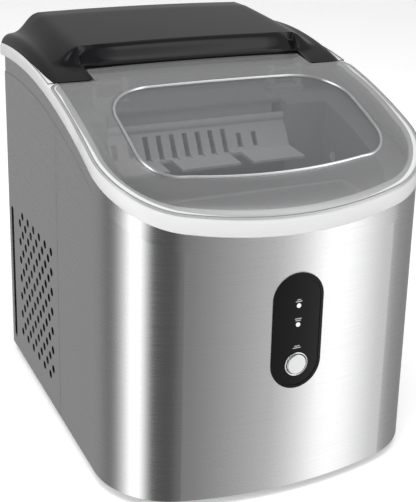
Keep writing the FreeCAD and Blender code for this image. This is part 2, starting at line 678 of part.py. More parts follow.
def hinge_bracket(side):
    """Two ears on a foot that stands on the liner's deck; the pin is pressed through both."""
    x0, x1 = sorted((side * (KNUCKLE_X0 - SIDE_GAP), side * (KNUCKLE_X1 + SIDE_GAP)))
    foot_top = roof_z(SEAT_R, HINGE_Y) + 4
    low = foot_top - 3 * COLLAR_T
    parts = [box(x0 - EAR_T, x1 + EAR_T, HINGE_Y - 7, HINGE_Y + 7, low, foot_top).cut(roof(SEAT_R))]
    for a, b in ((x0 - EAR_T, x0), (x1, x1 + EAR_T)):
        ear = box(a, b, HINGE_Y - EAR_R, HINGE_Y + EAR_R, foot_top - 1, HINGE_Z)
        parts.append(ear.fuse(cyl_x(EAR_R, a, b, HINGE_Y, HINGE_Z)))
    return fuse(parts).cut(cyl_x(PIN_R, x0 - EAR_T - 1, x1 + EAR_T + 1, HINGE_Y, HINGE_Z))


def hinge_pin(side):
    reach = SIDE_GAP + EAR_T
    x0, x1 = sorted((side * (KNUCKLE_X0 - reach), side * (KNUCKLE_X1 + reach)))
    return cyl_x(PIN_R, x0, x1, HINGE_Y, HINGE_Z)


# ---------------------------------------------------------------- control panel
def control_bezel():
    """Stadium face with a raised rim, on a plug that fills the hole in the steel."""
    def stadium(inset):
        return stadium_y(PANEL_W - 2 * inset, PANEL_H - 2 * inset, PANEL_Z, -DEPTH, 0)
    face = stadium(0).common(front_skin(0, PANEL_PROUD))
    plug = stadium(PANEL_PLUG).common(front_skin(-SHEET - 2, 0.2))
    dish = stadium(PANEL_RIM).common(front_skin(PANEL_PROUD / 2, 5))
    ring = cyl_y(BUTTON_R + 1.6, -DEPTH, 0, 0, BUTTON_Z).common(front_skin(0, PANEL_PROUD))
    holes = [cyl_y(BUTTON_R + SLIDE_GAP, -DEPTH, 0, 0, BUTTON_Z)]
    holes += [cyl_y(LED_R, -DEPTH, 0, 0, z) for z in LED_Z]
    return face.fuse(plug).cut(dish).fuse(ring).cut(group(holes))


def control_button():
    nose_y = front_y(0) - PANEL_PROUD - BUTTON_PROUD
    back_y = front_y(0) + SHEET + 2 + SLIDE_GAP
    cap = cyl_y(BUTTON_R, nose_y, back_y, 0, BUTTON_Z)
    cap = cap.makeFillet(0.6, [e for e in cap.Edges if e.BoundBox.YMax < nose_y + 0.1])
    flange = cyl_y(BUTTON_R + 1.5, back_y, back_y + 1.2, 0, BUTTON_Z)
    stem_y = BOARD_Y - SWITCH_H - BUTTON_TRAVEL - SLIDE_GAP
    return fuse([cap, flange, cyl_y(2.0, back_y + 1.2, stem_y, 0, BUTTON_Z)])


def led_lenses():
    front, back = front_y(0) - PANEL_PROUD + 0.2, front_y(0) + SHEET + 2
    return group([cyl_y(LED_R, front, back, 0, z) for z in LED_Z])


def control_board():
    """Board with a press switch and two lamps, on four posts behind the bezel."""
    board = box(-15, 15, BOARD_Y, BOARD_Y + 1.6, PANEL_Z - 36, PANEL_Z + 36)
    switch = box(-3, 3, BOARD_Y - SWITCH_H, BOARD_Y, BUTTON_Z - 3, BUTTON_Z + 3)
    lamps = [cyl_y(LED_R - 0.2, BOARD_Y - 3, BOARD_Y, 0, z) for z in LED_Z]
    post_y = front_y(0) + SHEET + 1.9
    posts = [cyl_y(1.8, post_y, BOARD_Y, x, PANEL_Z + dz) for x in (-12, 12) for dz in (-32, 32)]
    skin = plan_prism(0, 0, 0, TALL).cut(plan_prism(-SHEET - 2, 0, -1, TALL + 1))
    return fuse([board, switch] + lamps + posts).cut(skin)


# ---------------------------------------------------------------- liner, basket and ice making
def bin_prism(grow, z0, z1):
    """Ice bin outline: large round corners in front, square ones behind."""
    return bowl_prism(BIN_X + grow, BIN_FRONT_Y - grow, BIN_REAR_Y + grow, z0, z1, BIN_CORNER_R + grow)


def liner_cavity(grow):
    tub = bin_prism(grow, BIN_FLOOR_Z - grow, TALL)
    pocket = box(POCKET_X0 - grow, POCKET_X1 + grow, BIN_REAR_Y - 5, POCKET_REAR_Y + grow,
                 POCKET_FLOOR_Z - grow, TALL)
    return tub.fuse(pocket)


def inner_liner():
    """One moulding: deep bin, shallow pocket behind it, and a flange under the collar."""
    flange = plan_prism(-SHEET - 0.3, POCKET_REAR_Y + FLANGE_TAIL, 0, TALL)
    flange = flange.common(roof(SEAT_R)).cut(roof(SEAT_R - FLANGE_T))
    whole = flange.fuse(liner_cavity(PLASTIC_T).common(roof(SEAT_R)))
    deck = box(-WIDTH, WIDTH, DECK_Y, DEPTH, 0, TALL).cut(roof(SEAT_R - FLANGE_T))
    whole = whole.cut(liner_cavity(0).cut(deck))
    wall_x = POCKET_X1 + PLASTIC_T + 1
    bores = [cyl_x(SHAFT_R + RUN_FIT, -BIN_X, wall_x, TRAY_AXIS_Y, TRAY_AXIS_Z),
             cyl_x(RAKE_PIN_R + RUN_FIT, -BIN_X, wall_x, RAKE_AXIS_Y, RAKE_AXIS_Z),
             cyl_z(PUMP_PORT_R, 0, BIN_FLOOR_Z + 1, PUMP_X, PORT_Y),
             cyl_z(DRAIN_TUBE_R, 0, BIN_FLOOR_Z + 1, DRAIN_X + 10, DRAIN_PORT_Y),
             cyl_x(SENSOR_R, -BIN_X - 6, BIN_X + 6, PORT_Y, SENSOR_Z)]
    for i in range(2):
        bores.append(cyl_z(PIPE_R + 0.3, EVAP_Z + 2, TALL, FINGER_X0 + 8 + 16 * i, FINGER_Y + 26))
    return whole.cut(group(bores)).removeSplitter()


def foam_jacket():
    z0, z1 = BIN_FLOOR_Z + 6, POCKET_FLOOR_Z - 12
    return bin_prism(PLASTIC_T + FOAM_T, z0, z1).cut(bin_prism(PLASTIC_T, z0 - 1, z1 + 1))


def basket_prism(inset, z0, z1):
    corner = BIN_CORNER_R - BASKET_CORNER_IN - inset
    return bowl_prism(BASKET_X - inset, BASKET_FRONT_Y + inset, BASKET_REAR_Y - inset, z0, z1, corner)


def basket_slots():
    """Drain slots in the walls and holes in the floor."""
    cuts = []
    z0, z1 = BASKET_LOW_Z + 10, BASKET_TOP_Z - 14
    columns = [(i - 4) * BASKET_PITCH_X for i in range(9)]
    for x in columns:
        cuts.append(box(x - 3, x + 3, BASKET_FRONT_Y - 1, BASKET_REAR_Y + 1, z0, z1))
        for j in range(4):
            y = BASKET_FRONT_Y + 18 + j * BASKET_PITCH_Y
            cuts.append(cyl_z(3, BASKET_LOW_Z - 1, BASKET_LOW_Z + 5, x, y))
    for i in range(2):
        y = BASKET_REAR_Y - 27 + i * 14
        cuts.append(box(-BASKET_X - 1, BASKET_X + 1, y - 3, y + 3, z0, z1))
    return group(cuts)


def ice_basket():
    body = basket_prism(0, BASKET_LOW_Z, BASKET_TOP_Z)
    hollow = basket_prism(BASKET_WALL, BASKET_LOW_Z + BASKET_WALL, BASKET_TOP_Z + 1)
    rim = basket_prism(-2.5, BASKET_TOP_Z - 2.5, BASKET_TOP_Z).cut(basket_prism(0, 0, TALL))
    return fuse([body.cut(hollow).cut(basket_slots()), rim])


def basket_ledges():
    """Pads on the bin's side walls that carry the basket."""
    pads = []
    for side in (-1, 1):
        x0, x1 = sorted((side * (BASKET_X - 10), side * BIN_X))
        pads.append(box(x0, x1, BASKET_REAR_Y - 30, BASKET_REAR_Y - 4, BASKET_LOW_Z - 6, BASKET_LOW_Z))
    return group(pads)


def evaporator_plate():
    x0, x1 = FINGER_X0 - EVAP_END, FINGER_X0 + FINGER_SPAN + EVAP_END
    half = EVAP_DEPTH / 2
    plate = box(x0, x1, FINGER_Y - half, FINGER_Y + half, EVAP_Z, EVAP_Z + EVAP_T)
    ceiling = roof(SEAT_R - FLANGE_T)
    lugs = [box(x, x + 6, FINGER_Y - 3, FINGER_Y + 3, EVAP_Z + EVAP_T, TALL).common(ceiling)
            for x in (x0, x1 - 6)]
    return fuse([plate] + lugs)


def ice_fingers():
    tip = EVAP_Z - FINGER_LEN
    rods = []
    for i in range(FINGER_N):
        rod = cyl_z(FINGER_R, tip, EVAP_Z, FINGER_X0 + i * FINGER_PITCH, FINGER_Y)
        rods.append(rod.makeFillet(FINGER_R * 0.7, [e for e in rod.Edges if e.BoundBox.ZMax < tip + 0.1]))
    return group(rods)


def evaporator_cover():
    """Splash guard in front of the evaporator plate, hung from the deck."""
    reach = EVAP_END + 3
    y = FINGER_Y - EVAP_DEPTH / 2 - 3.5
    guard = box(FINGER_X0 - reach, FINGER_X0 + FINGER_SPAN + reach, y, y + 2, EVAP_Z - 4, TALL)
    return guard.common(roof(SEAT_R - FLANGE_T))


def rounded_trough(x0, x1, y0, y1, z0, z1, r):
    block = box(x0, x1, y0, y1, z0, z1)
    return block.makeFillet(r, [e for e in edges_along(block, V(1, 0, 0)) if e.BoundBox.ZMax < z0 + 0.1])


def water_tray():
    """Trough under the fingers, hung from two arms that turn on its axis."""
    x0, x1 = POCKET_X0 + TRAY_END, POCKET_X1 - TRAY_END
    y1 = TRAY_AXIS_Y - 2
    y0 = y1 - TRAY_DEPTH
    z1 = TRAY_AXIS_Z - TRAY_LIP_DOWN
    z0 = z1 - TRAY_H
    w = TRAY_WALL
    trough = rounded_trough(x0, x1, y0, y1, z0, z1, 5.0)
    hollow = rounded_trough(x0 + w, x1 - w, y0 + w, y1 - w, z0 + w, z1 + 1, 3.8)
    parts = [trough.cut(hollow)]
    arm_t = 2.5
    for x in (x0, x1 - arm_t):
        arm = box(x, x + arm_t, TRAY_AXIS_Y - 7, TRAY_AXIS_Y + 5, z1 - 10, TRAY_AXIS_Z)
        parts.append(arm.fuse(cyl_x(2 * SHAFT_R, x, x + arm_t, TRAY_AXIS_Y, TRAY_AXIS_Z)))
    parts.append(cyl_x(SHAFT_R, POCKET_X0 - PLASTIC_T, x0 + 1, TRAY_AXIS_Y, TRAY_AXIS_Z))
    return fuse(parts)


def tray_shaft():
    return cyl_x(SHAFT_R, POCKET_X1 - TRAY_END, POCKET_X1 + PLASTIC_T + 10, TRAY_AXIS_Y, TRAY_AXIS_Z)


def ice_rake():
    """Slotted scoop that hangs from two pins in front of the fingers and pushes the ice forward."""
    x0, x1 = POCKET_X0 + SIDE_GAP, POCKET_X1 - SIDE_GAP
    y, z = RAKE_AXIS_Y, RAKE_AXIS_Z
    knee_y, knee_z = y - 12.5, z - 21.0
    tip_y, tip_z = y - 38.5, z - 22.5
    profile = [(y - 1.5, z), (knee_y - 1, knee_z + 1.5), (tip_y, tip_z + RAKE_T), (tip_y, tip_z),
               (knee_y, knee_z - 1), (y + 0.8, z - 1), (y - 1.5, z)]
    plate = Part.Face(Part.makePolygon([V(x0, a, b) for a, b in profile])).extrude(V(x1 - x0, 0, 0))
    barrel = cyl_x(RAKE_BARREL_R, x0, x1, y, z)
    pins = cyl_x(RAKE_PIN_R, POCKET_X0 - PLASTIC_T, POCKET_X1 + PLASTIC_T, y, z)
    middle = (x0 + x1) / 2 - 12
    half = RAKE_SLOT_W / 2
    cuts = []
    for i in range(RAKE_SLOTS):
        x = middle + (i - (RAKE_SLOTS - 1) / 2) * RAKE_PITCH
        cuts.append(box(x - half, x + half, knee_y - 6, y + 4.5, z - 20.5, z - 4.5))
    for side in (-1, 1):
        for i in range(2):
            x = middle + side * ((RAKE_SLOTS + 1) / 2 * RAKE_PITCH + 2 + i * 12.5)
            cuts.append(box(x - half, x + half, knee_y - 6, y + 4.5, z - 18, z - 8))
    for x in (middle - 20, middle + 36):
        cuts.append(box(x - 5, x + 5, tip_y - 1, knee_y - 5, tip_z - 10, knee_z + 7))
    return fuse([plate, barrel, pins]).cut(group(cuts))


def tray_motor():
    """Gear motor outside the pocket's right wall; the tray's shaft runs into it."""
    x0 = POCKET_X1 + PLASTIC_T
    body = round_box(x0, x0 + MOTOR_W, TRAY_AXIS_Y - MOTOR_HALF, TRAY_AXIS_Y + MOTOR_HALF,
                     TRAY_AXIS_Z - 24, TRAY_AXIS_Z + 18, 3.0)
    return body.cut(cyl_x(SHAFT_R + RUN_FIT, x0 - 1, x0 + 12, TRAY_AXIS_Y, TRAY_AXIS_Z))


def ice_sensors():
    lenses = []
    wall = BIN_X + PLASTIC_T
    for side in (-1, 1):
        x0, x1 = sorted((side * BIN_X, side * wall))
        x2, x3 = sorted((side * wall, side * (wall + 5)))
        lenses.append(fuse([cyl_x(SENSOR_R, x0, x1, PORT_Y, SENSOR_Z),
                            cyl_x(SENSOR_R + 2, x2, x3, PORT_Y, SENSOR_Z)]))
    return group(lenses)


def float_stem():
    z = BIN_FLOOR_Z
    return fuse([cyl_z(STEM_R, z, z + STEM_H, FLOAT_X, PORT_Y), cyl_z(6.0, z, z + 2, FLOAT_X, PORT_Y),
                 cyl_z(2 * STEM_R, z + STEM_H - 2, z + STEM_H, FLOAT_X, PORT_Y)])


def level_float():
    z0 = BIN_FLOOR_Z + 2.3
    body = cyl_z(FLOAT_R, z0, z0 + FLOAT_H, FLOAT_X, PORT_Y)
    body = body.makeFillet(2.0, [e for e in body.Edges if e.Curve.TypeId == "Part::GeomCircle"])
    return body.cut(cyl_z(STEM_R + 0.1, z0 - 1, z0 + FLOAT_H + 1, FLOAT_X, PORT_Y))


# ---------------------------------------------------------------- water
def pump_housing():
    """Round pump under the bin: a chamber with a port up to the bin and an outlet to the back."""
    outer = cyl_z(PUMP_R, PUMP_LOW, PUMP_TOP, PUMP_X, PORT_Y)
    chamber = cyl_z(PUMP_R - 3, PUMP_TOP - 12, PUMP_TOP - 3, PUMP_X, PORT_Y)
    neck = cyl_z(PUMP_PORT_R, PUMP_TOP, BIN_FLOOR_Z, PUMP_X, PORT_Y)
    feet = box(PUMP_X - PUMP_R - 3, PUMP_X + PUMP_R + 3, PORT_Y - 6, PORT_Y + 6, PAN_TOP, PUMP_LOW)
    outlet_z = PUMP_TOP - 7.5
    rim = PORT_Y + PUMP_R
    outlet = cyl_y(3.5, rim - 3, rim + 10, PUMP_X, outlet_z)
    ways = [cyl_z(PUMP_PORT_R - 1.5, PUMP_TOP - 4, BIN_FLOOR_Z + 1, PUMP_X, PORT_Y),
            cyl_y(2.0, rim - 6, rim + 11, PUMP_X, outlet_z)]
    return fuse([outer, neck, feet, outlet]).cut(fuse([chamber] + ways))


def pump_impeller():
    z0 = PUMP_TOP - 11
    vanes = []
    for i in range(6):
        vane = box(PUMP_X + 2, PUMP_X + PUMP_R - 5, PORT_Y - 0.6, PORT_Y + 0.6, z0 + 1, z0 + 6)
        vane.rotate(V(PUMP_X, PORT_Y, 0), V(0, 0, 1), i * 60)
        vanes.append(vane)
    hub = cyl_z(3.0, z0, z0 + 6.5, PUMP_X, PORT_Y)
    disc = cyl_z(PUMP_R - 4.5, z0, z0 + 1.5, PUMP_X, PORT_Y)
    return fuse([hub, disc] + vanes)


def water_hose():
    z = PUMP_TOP - 7.5
    return tube([(PUMP_X, PORT_Y + PUMP_R + 10, z), (PUMP_X, HOSE_Y, z),
                 (PUMP_X, HOSE_Y, POCKET_FLOOR_Z - PLASTIC_T)], HOSE_R, HOSE_BEND)


def drain_spout():
    """Hose from the bin's floor to a sleeve in the back panel."""
    x, y, z = DRAIN_X + 10, DRAIN_PORT_Y, DRAIN_Z
    hose = tube([(x, y, BIN_FLOOR_Z), (x, y, z), (x, y + 40, z), (DRAIN_X, y + 80, z), (DRAIN_X, REAR_Y, z)],
                DRAIN_TUBE_R, 12.0)
    sleeve = cyl_y(DRAIN_R, REAR_Y - 18, REAR_Y + 3, DRAIN_X, z)
    flange = cyl_y(DRAIN_R + 3, REAR_Y, REAR_Y + 3, DRAIN_X, z)
    return fuse([hose, sleeve, flange]).cut(cyl_y(DRAIN_PLUG_R, REAR_Y - 12, REAR_Y + 5, DRAIN_X, z))


def drain_plug():
    head_y = REAR_Y + 3.2
    stem = cyl_y(DRAIN_PLUG_R - 0.1, REAR_Y - 10, head_y, DRAIN_X, DRAIN_Z)
    head = cyl_y(DRAIN_R + 2, head_y, head_y + 3.8, DRAIN_X, DRAIN_Z)
    grip = box(DRAIN_X - 1.5, DRAIN_X + 1.5, head_y + 2.8, head_y + 9.8, DRAIN_Z - 7, DRAIN_Z + 7)
    return fuse([stem, head, grip])


# ---------------------------------------------------------------- refrigeration
def compressor():
    """Welded can with a seam, on a foot plate, with a terminal box at its side."""
    z0 = COMP_LOW
    can = cyl_z(COMP_R, z0, z0 + COMP_H, COMP_X, COMP_Y)
    can = can.makeFillet(18.0, [e for e in can.Edges if e.Curve.TypeId == "Part::GeomCircle"])
    seam_z = z0 + COMP_H * 0.55
    seam = cyl_z(COMP_R + 2, seam_z, seam_z + 4, COMP_X, COMP_Y)
    reach = COMP_R + 4
    foot = box(COMP_X - reach, COMP_X + reach, COMP_Y - 30, COMP_Y + 30, z0 - 4, z0 + 2)
    foot = foot.cut(group([cyl_z(4, 0, TALL, x, y) for x, y in GROMMETS]))
    terminals = box(COMP_X + COMP_R - 6, COMP_X + COMP_R + 12, COMP_Y - 18, COMP_Y + 18, z0 + 26, z0 + 62)
    return fuse([can, seam, foot, terminals])


def compressor_grommets():
    z0 = PAN_TOP
    return group([fuse([cyl_z(6.5, z0, z0 + 6, x, y), cyl_z(4.0, z0 + 6, z0 + 14, x, y)])
                  for x, y in GROMMETS])


def condenser():
    """Upright fins on level tube rows, on two feet."""
    step = (COND_Y1 - COND_Y0 - 1) / (COND_FINS - 1)
    fins = [box(COND_X0, COND_X1, COND_Y0 + i * step, COND_Y0 + i * step + 1, COND_LOW_Z, COND_TOP_Z)
            for i in range(COND_FINS)]
    x = (COND_X0 + COND_X1) / 2
    rise = (COND_TOP_Z - COND_LOW_Z - 24) / (COND_ROWS - 1)
    rows = [cyl_y(PIPE_R, COND_Y0 - 6, COND_Y1 + 6, x, COND_LOW_Z + 12 + i * rise) for i in range(COND_ROWS)]
    feet = [box(COND_X0, COND_X1, y, y + 2, PAN_TOP, COND_LOW_Z + 1) for y in (COND_Y0 + 8, COND_Y1 - 10)]
    return fuse(fins + rows + feet)


def fan_shroud():
    half_y, half_z = FAN_R + 7, FAN_R + 9
    x0, x1 = SHROUD_X0, SHROUD_X1
    frame = box(x0, x1, FAN_Y - half_y, FAN_Y + half_y, FAN_Z - half_z, FAN_Z + half_z)
    frame = frame.cut(cyl_x(FAN_R + 2.5, x0 - 1, x1 + 1, FAN_Y, FAN_Z))
    arms = [box(x1 - 2, x1, FAN_Y - 2, FAN_Y + 2, FAN_Z - half_z, FAN_Z + half_z),
            box(x1 - 2, x1, FAN_Y - half_y, FAN_Y + half_y, FAN_Z - 2, FAN_Z + 2),
            cyl_x(FAN_MOTOR_R + 2, x1 - 2, x1, FAN_Y, FAN_Z)]
    foot = box(x0, x1, FAN_Y - 20, FAN_Y + 20, PAN_TOP, FAN_Z - half_z + 1)
    return fuse([frame, foot] + arms).cut(cyl_x(FAN_SHAFT_R + 0.5, x1 - 5, x1 + 1, FAN_Y, FAN_Z))


def fan_motor():
    body = cyl_x(FAN_MOTOR_R, SHROUD_X1, SHROUD_X1 + FAN_MOTOR_LEN, FAN_Y, FAN_Z)
    return body.fuse(cyl_x(FAN_SHAFT_R, SHROUD_X0 + 2, SHROUD_X1 + 1, FAN_Y, FAN_Z))


def fan_blades():
    x0, x1 = SHROUD_X0 + 1, SHROUD_X1 - 3.5
    middle = V((x0 + x1) / 2, FAN_Y, FAN_Z)
    parts = [cyl_x(11.0, x0, x1, FAN_Y, FAN_Z)]
    for i in range(FAN_BLADES):
        blade = box(middle.x - 6.5, middle.x + 6.5, FAN_Y - 0.7, FAN_Y + 0.7, FAN_Z + 9, FAN_Z + FAN_R)
        blade.rotate(middle, V(0, 0, 1), 40)
        blade.rotate(middle, V(1, 0, 0), i * 360.0 / FAN_BLADES)
        parts.append(blade)
    keep = cyl_x(FAN_R, x0, x1, FAN_Y, FAN_Z)
    return fuse(parts).common(keep).cut(cyl_x(FAN_SHAFT_R + RUN_FIT, x0 - 1, x1 + 1, FAN_Y, FAN_Z))


def hot_gas_tube():
    """From the top of the compressor, over and down to the condenser's top row."""
    x = (COND_X0 + COND_X1) / 2
    y, z = COND_Y1 + 22, COND_TOP_Z - 12
    comp_x, comp_top = COMP_X - COMP_R / 2, COMP_LOW + COMP_H
    return tube([(x, COND_Y1 + 6, z), (x, y, z), (comp_x, y, z), (comp_x, y, comp_top + 20),
                 (comp_x, COMP_Y, comp_top + 20), (comp_x, COMP_Y, comp_top)], PIPE_R, GAS_BEND)


# ---------------------------------------------------------------- electrics
def main_board():
    """Power board with its coils and capacitors, on four posts inside the right side."""
    x = HALF_W - SHEET - BOARD_IN
    y, z = COMP_Y + 15, 177.5
    parts = [box(x - 1.6, x, y - 29, y + 29, z - 37.5, z + 37.5),
             box(x - 20, x - 1.6, y - 23, y - 1, z - 29.5, z - 5.5),
             cyl_x(8, x - 18, x - 1.6, y + 15, z - 17.5),
             box(x - 8, x - 1.6, y - 21, y + 21, z + 8.5, z + 22.5)]
    parts += [cyl_x(2.5, x, HALF_W - SHEET, y + dy, z + dz) for dy in (-25, 25) for dz in (-33.5, 33.5)]
    return fuse(parts)


def power_inlet():
    """Inlet socket in the back panel, pins inside; no lead is fitted."""
    w, h = INLET_W / 2, INLET_H / 2
    body = box(INLET_X - w, INLET_X + w, REAR_Y - 18, REAR_Y, INLET_Z - h, INLET_Z + h)
    flange = round_box(INLET_X - w - 4, INLET_X + w + 4, REAR_Y, REAR_Y + 2.5,
                       INLET_Z - h - 4, INLET_Z + h + 4, 3.0, V(0, 1, 0))
    w, h = w - INLET_WALL, h - INLET_WALL
    mouth = box(INLET_X - w, INLET_X + w, REAR_Y - 13, REAR_Y + 5, INLET_Z - h, INLET_Z + h)
    return body.fuse(flange).cut(mouth).removeSplitter()


def inlet_pins():
    pins = []
    for dx, dz in ((-7, 1), (0, -3), (7, 1)):
        x, z = INLET_X + dx, INLET_Z + dz
        pins.append(box(x - 1, x + 1, REAR_Y - 13, REAR_Y - 2, z - 2, z + 2))
    return group(pins)


MAKERS = [front_wrap, back_panel, back_screws, base_pan, rubber_feet, top_collar, rear_cover, lid_shell,
          lid_window, control_bezel, control_button, led_lenses, control_board, inner_liner, foam_jacket,
          ice_basket, basket_ledges, evaporator_plate, ice_fingers, evaporator_cover, water_tray, tray_shaft,
          ice_rake, tray_motor, ice_sensors, float_stem, level_float, pump_housing, pump_impeller,
          water_hose, drain_spout, drain_plug, compressor, compressor_grommets, condenser, fan_shroud,
          fan_motor, fan_blades, hot_gas_tube, main_board, power_inlet, inlet_pins]

os.makedirs("parts", exist_ok=True)
shapes = {make.__name__: make() for make in MAKERS}
for side, name in ((-1, "left"), (1, "right")):
    shapes[name + "_side_panel"] = side_panel(side)
    shapes["hinge_bracket_" + name] = hinge_bracket(side)
    shapes["hinge_pin_" + name] = hinge_pin(side)

for name, shape in shapes.items():
    if not shape.isValid() or not shape.Solids:
        print("CHECK", name, shape.isValid(), len(shape.Solids))
    bb = shape.BoundBox
    print("%-20s solids %2d vol %10.0f x %.1f %.1f y %.1f %.1f z %.1f %.1f" % (
        name, len(shape.Solids), shape.Volume, bb.XMin, bb.XMax, bb.YMin, bb.YMax, bb.ZMin, bb.ZMax))
    shape.exportStep("parts/" + name + ".step")
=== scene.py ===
import math

import bmesh
import bpy
from mathutils import Matrix, Vector
from mathutils.kdtree import KDTree


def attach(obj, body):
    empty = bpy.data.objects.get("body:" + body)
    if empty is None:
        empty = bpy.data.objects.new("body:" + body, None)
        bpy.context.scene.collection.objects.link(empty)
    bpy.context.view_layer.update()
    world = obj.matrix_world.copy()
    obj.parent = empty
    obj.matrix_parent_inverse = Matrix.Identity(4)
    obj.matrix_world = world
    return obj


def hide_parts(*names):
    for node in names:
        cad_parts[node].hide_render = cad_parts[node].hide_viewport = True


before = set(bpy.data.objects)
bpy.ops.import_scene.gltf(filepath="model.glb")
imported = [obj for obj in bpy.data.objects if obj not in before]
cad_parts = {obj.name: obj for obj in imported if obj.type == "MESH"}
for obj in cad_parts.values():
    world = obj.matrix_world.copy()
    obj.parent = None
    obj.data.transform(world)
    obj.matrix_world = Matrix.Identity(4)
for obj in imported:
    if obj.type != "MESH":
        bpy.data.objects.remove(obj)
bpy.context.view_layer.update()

# ---------------------------------------------------------------- camera and studio
# The viewer stands back from the worktop, a little left of the front, and looks down on the lid.
# The set is a pale floor, grey surroundings and tall bright cards, whose light runs up the steel.
MM = 0.001

eye_turn = math.radians(-24.767)
eye_lift = math.radians(17.605)
eye_roll = math.radians(1.341)
eye_distance = 796.1 * MM
look_at = Vector((-13.25, -30.3, 206.25)) * MM
back = Vector((math.sin(eye_turn) * math.cos(eye_lift), -math.cos(eye_turn) * math.cos(eye_lift),
               math.sin(eye_lift)))
level = Vector((math.cos(eye_turn), math.sin(eye_turn), 0))
upward = back.cross(level)
across = level * math.cos(eye_roll) + upward * math.sin(eye_roll)
upward = upward * math.cos(eye_roll) - level * math.sin(eye_roll)

camera_data = bpy.data.cameras.new("camera")
camera_data.sensor_width = 36
camera_data.lens = 79.05
camera_data.shift_y = -0.1793
camera = bpy.data.objects.new("camera", camera_data)
camera.matrix_world = (Matrix.Translation(look_at + back * eye_distance)
                       @ Matrix((across, upward, back)).transposed().to_4x4())
bpy.context.scene.collection.objects.link(camera)
bpy.context.scene.camera = camera
bpy.context.scene.view_settings.view_transform = "Standard"

# how bright the surroundings are in each direction, in degrees from the front towards +X
CARDS = [(-180, 0.34), (-140, 0.34), (-118, 0.2), (-108, 0.3), (-96, 0.75), (-88, 1.3), (-80, 1.9),
         (-68, 1.9), (-58, 0.8), (-50, 0.12), (-22, 0.11), (-12, 0.2), (2, 0.38), (10, 0.5), (24, 0.66),
         (34, 1.15), (39, 1.8), (48, 1.8), (58, 1.05), (72, 0.45), (110, 0.3), (140, 0.34), (180, 0.34)]
CARD_TOP = 2.0           # brightness that the ramp's white stands for

world = bpy.data.worlds.new("studio")
world.use_nodes = True
bpy.context.scene.world = world
wn, wl = world.node_tree.nodes, world.node_tree.links
direction = wn.new("ShaderNodeTexCoord")
split = wn.new("ShaderNodeSeparateXYZ")
wl.new(direction.outputs["Generated"], split.inputs[0])
facing = wn.new("ShaderNodeMath")
facing.operation = "MULTIPLY"
facing.inputs[1].default_value = -1
wl.new(split.outputs["Y"], facing.inputs[0])
bearing = wn.new("ShaderNodeMath")
bearing.operation = "ARCTAN2"
wl.new(split.outputs["X"], bearing.inputs[0])
wl.new(facing.outputs[0], bearing.inputs[1])
turn = wn.new("ShaderNodeMapRange")
turn.inputs["From Min"].default_value = -math.pi
turn.inputs["From Max"].default_value = math.pi
wl.new(bearing.outputs[0], turn.inputs["Value"])
cards = wn.new("ShaderNodeValToRGB")
wl.new(turn.outputs[0], cards.inputs[0])
stops = cards.color_ramp.elements
while len(stops) < len(CARDS):
    stops.new(0.5)
for stop, (angle, bright) in zip(stops, CARDS):
    stop.position = (angle + 180) / 360
    stop.color = (bright / CARD_TOP,) * 3 + (1,)
ceiling = wn.new("ShaderNodeMapRange")
ceiling.interpolation_type = "SMOOTHSTEP"
ceiling.inputs["From Min"].default_value = 0.88
ceiling.inputs["From Max"].default_value = 0.98
wl.new(split.outputs["Z"], ceiling.inputs["Value"])
overhead = wn.new("ShaderNodeMix")
overhead.data_type = "RGBA"
overhead.inputs["B"].default_value = (0.08, 0.08, 0.08, 1)
wl.new(ceiling.outputs[0], overhead.inputs["Factor"])
wl.new(cards.outputs["Color"], overhead.inputs["A"])
wl.new(overhead.outputs["Result"], wn["Background"].inputs["Color"])
wn["Background"].inputs["Strength"].default_value = CARD_TOP


def softbox(name, place, aim, width, height, watts):
    """Soft light card that lights the object but isn't mirrored in it."""
    data = bpy.data.lights.new(name, "AREA")
    data.shape = "RECTANGLE"
    data.size, data.size_y, data.energy = width, height, watts
    light = bpy.data.objects.new(name, data)
    light.location = place
    light.rotation_euler = (Vector(place) - Vector(aim)).to_track_quat("Z", "Y").to_euler()
    light.visible_glossy = False
    bpy.context.scene.collection.objects.link(light)


softbox("overhead_light", (-0.2, -0.3, 1.6), (0, 0, 0.2), 1.2, 1.2, 17)
softbox("front_light", (-1.2, -1.4, 0.9), (0, 0, 0.15), 1.0, 1.0, 8)


def plain_material(name, colour, roughness, metallic=0.0):
    """Material with one Principled shader; returns it with its nodes, links and shader."""
    made = bpy.data.materials.new(name)
    made.use_nodes = True
    shader = made.node_tree.nodes["Principled BSDF"]
    shader.inputs["Base Color"].default_value = tuple(colour) + (1,)
    shader.inputs["Roughness"].default_value = roughness
    shader.inputs["Metallic"].default_value = metallic
    return made, made.node_tree.nodes, made.node_tree.links, shader


def mesh_piece(name, points, faces, material, smooth=True):
    """Object made of points in metres and faces."""
    mesh = bpy.data.meshes.new(name)
    mesh.from_pydata(points, [], faces)
    mesh.materials.append(material)
    mesh.polygons.foreach_set("use_smooth", [smooth] * len(mesh.polygons))
    mesh.update()
    piece = bpy.data.objects.new(name, mesh)
    bpy.context.scene.collection.objects.link(piece)
    return piece


floor_material, _, _, floor_shader = plain_material("pale_floor", (0.92, 0.92, 0.92), 0.6)
floor_shader.inputs["Emission Color"].default_value = (1, 1, 1, 1)
floor_shader.inputs["Emission Strength"].default_value = 0.35
FLOOR = 9.0
floor = mesh_piece("floor", [(-FLOOR, -FLOOR, 0), (FLOOR, -FLOOR, 0), (FLOOR, FLOOR, 0), (-FLOOR, FLOOR, 0)],
                   [(0, 1, 2, 3)], floor_material)
floor.visible_glossy = False


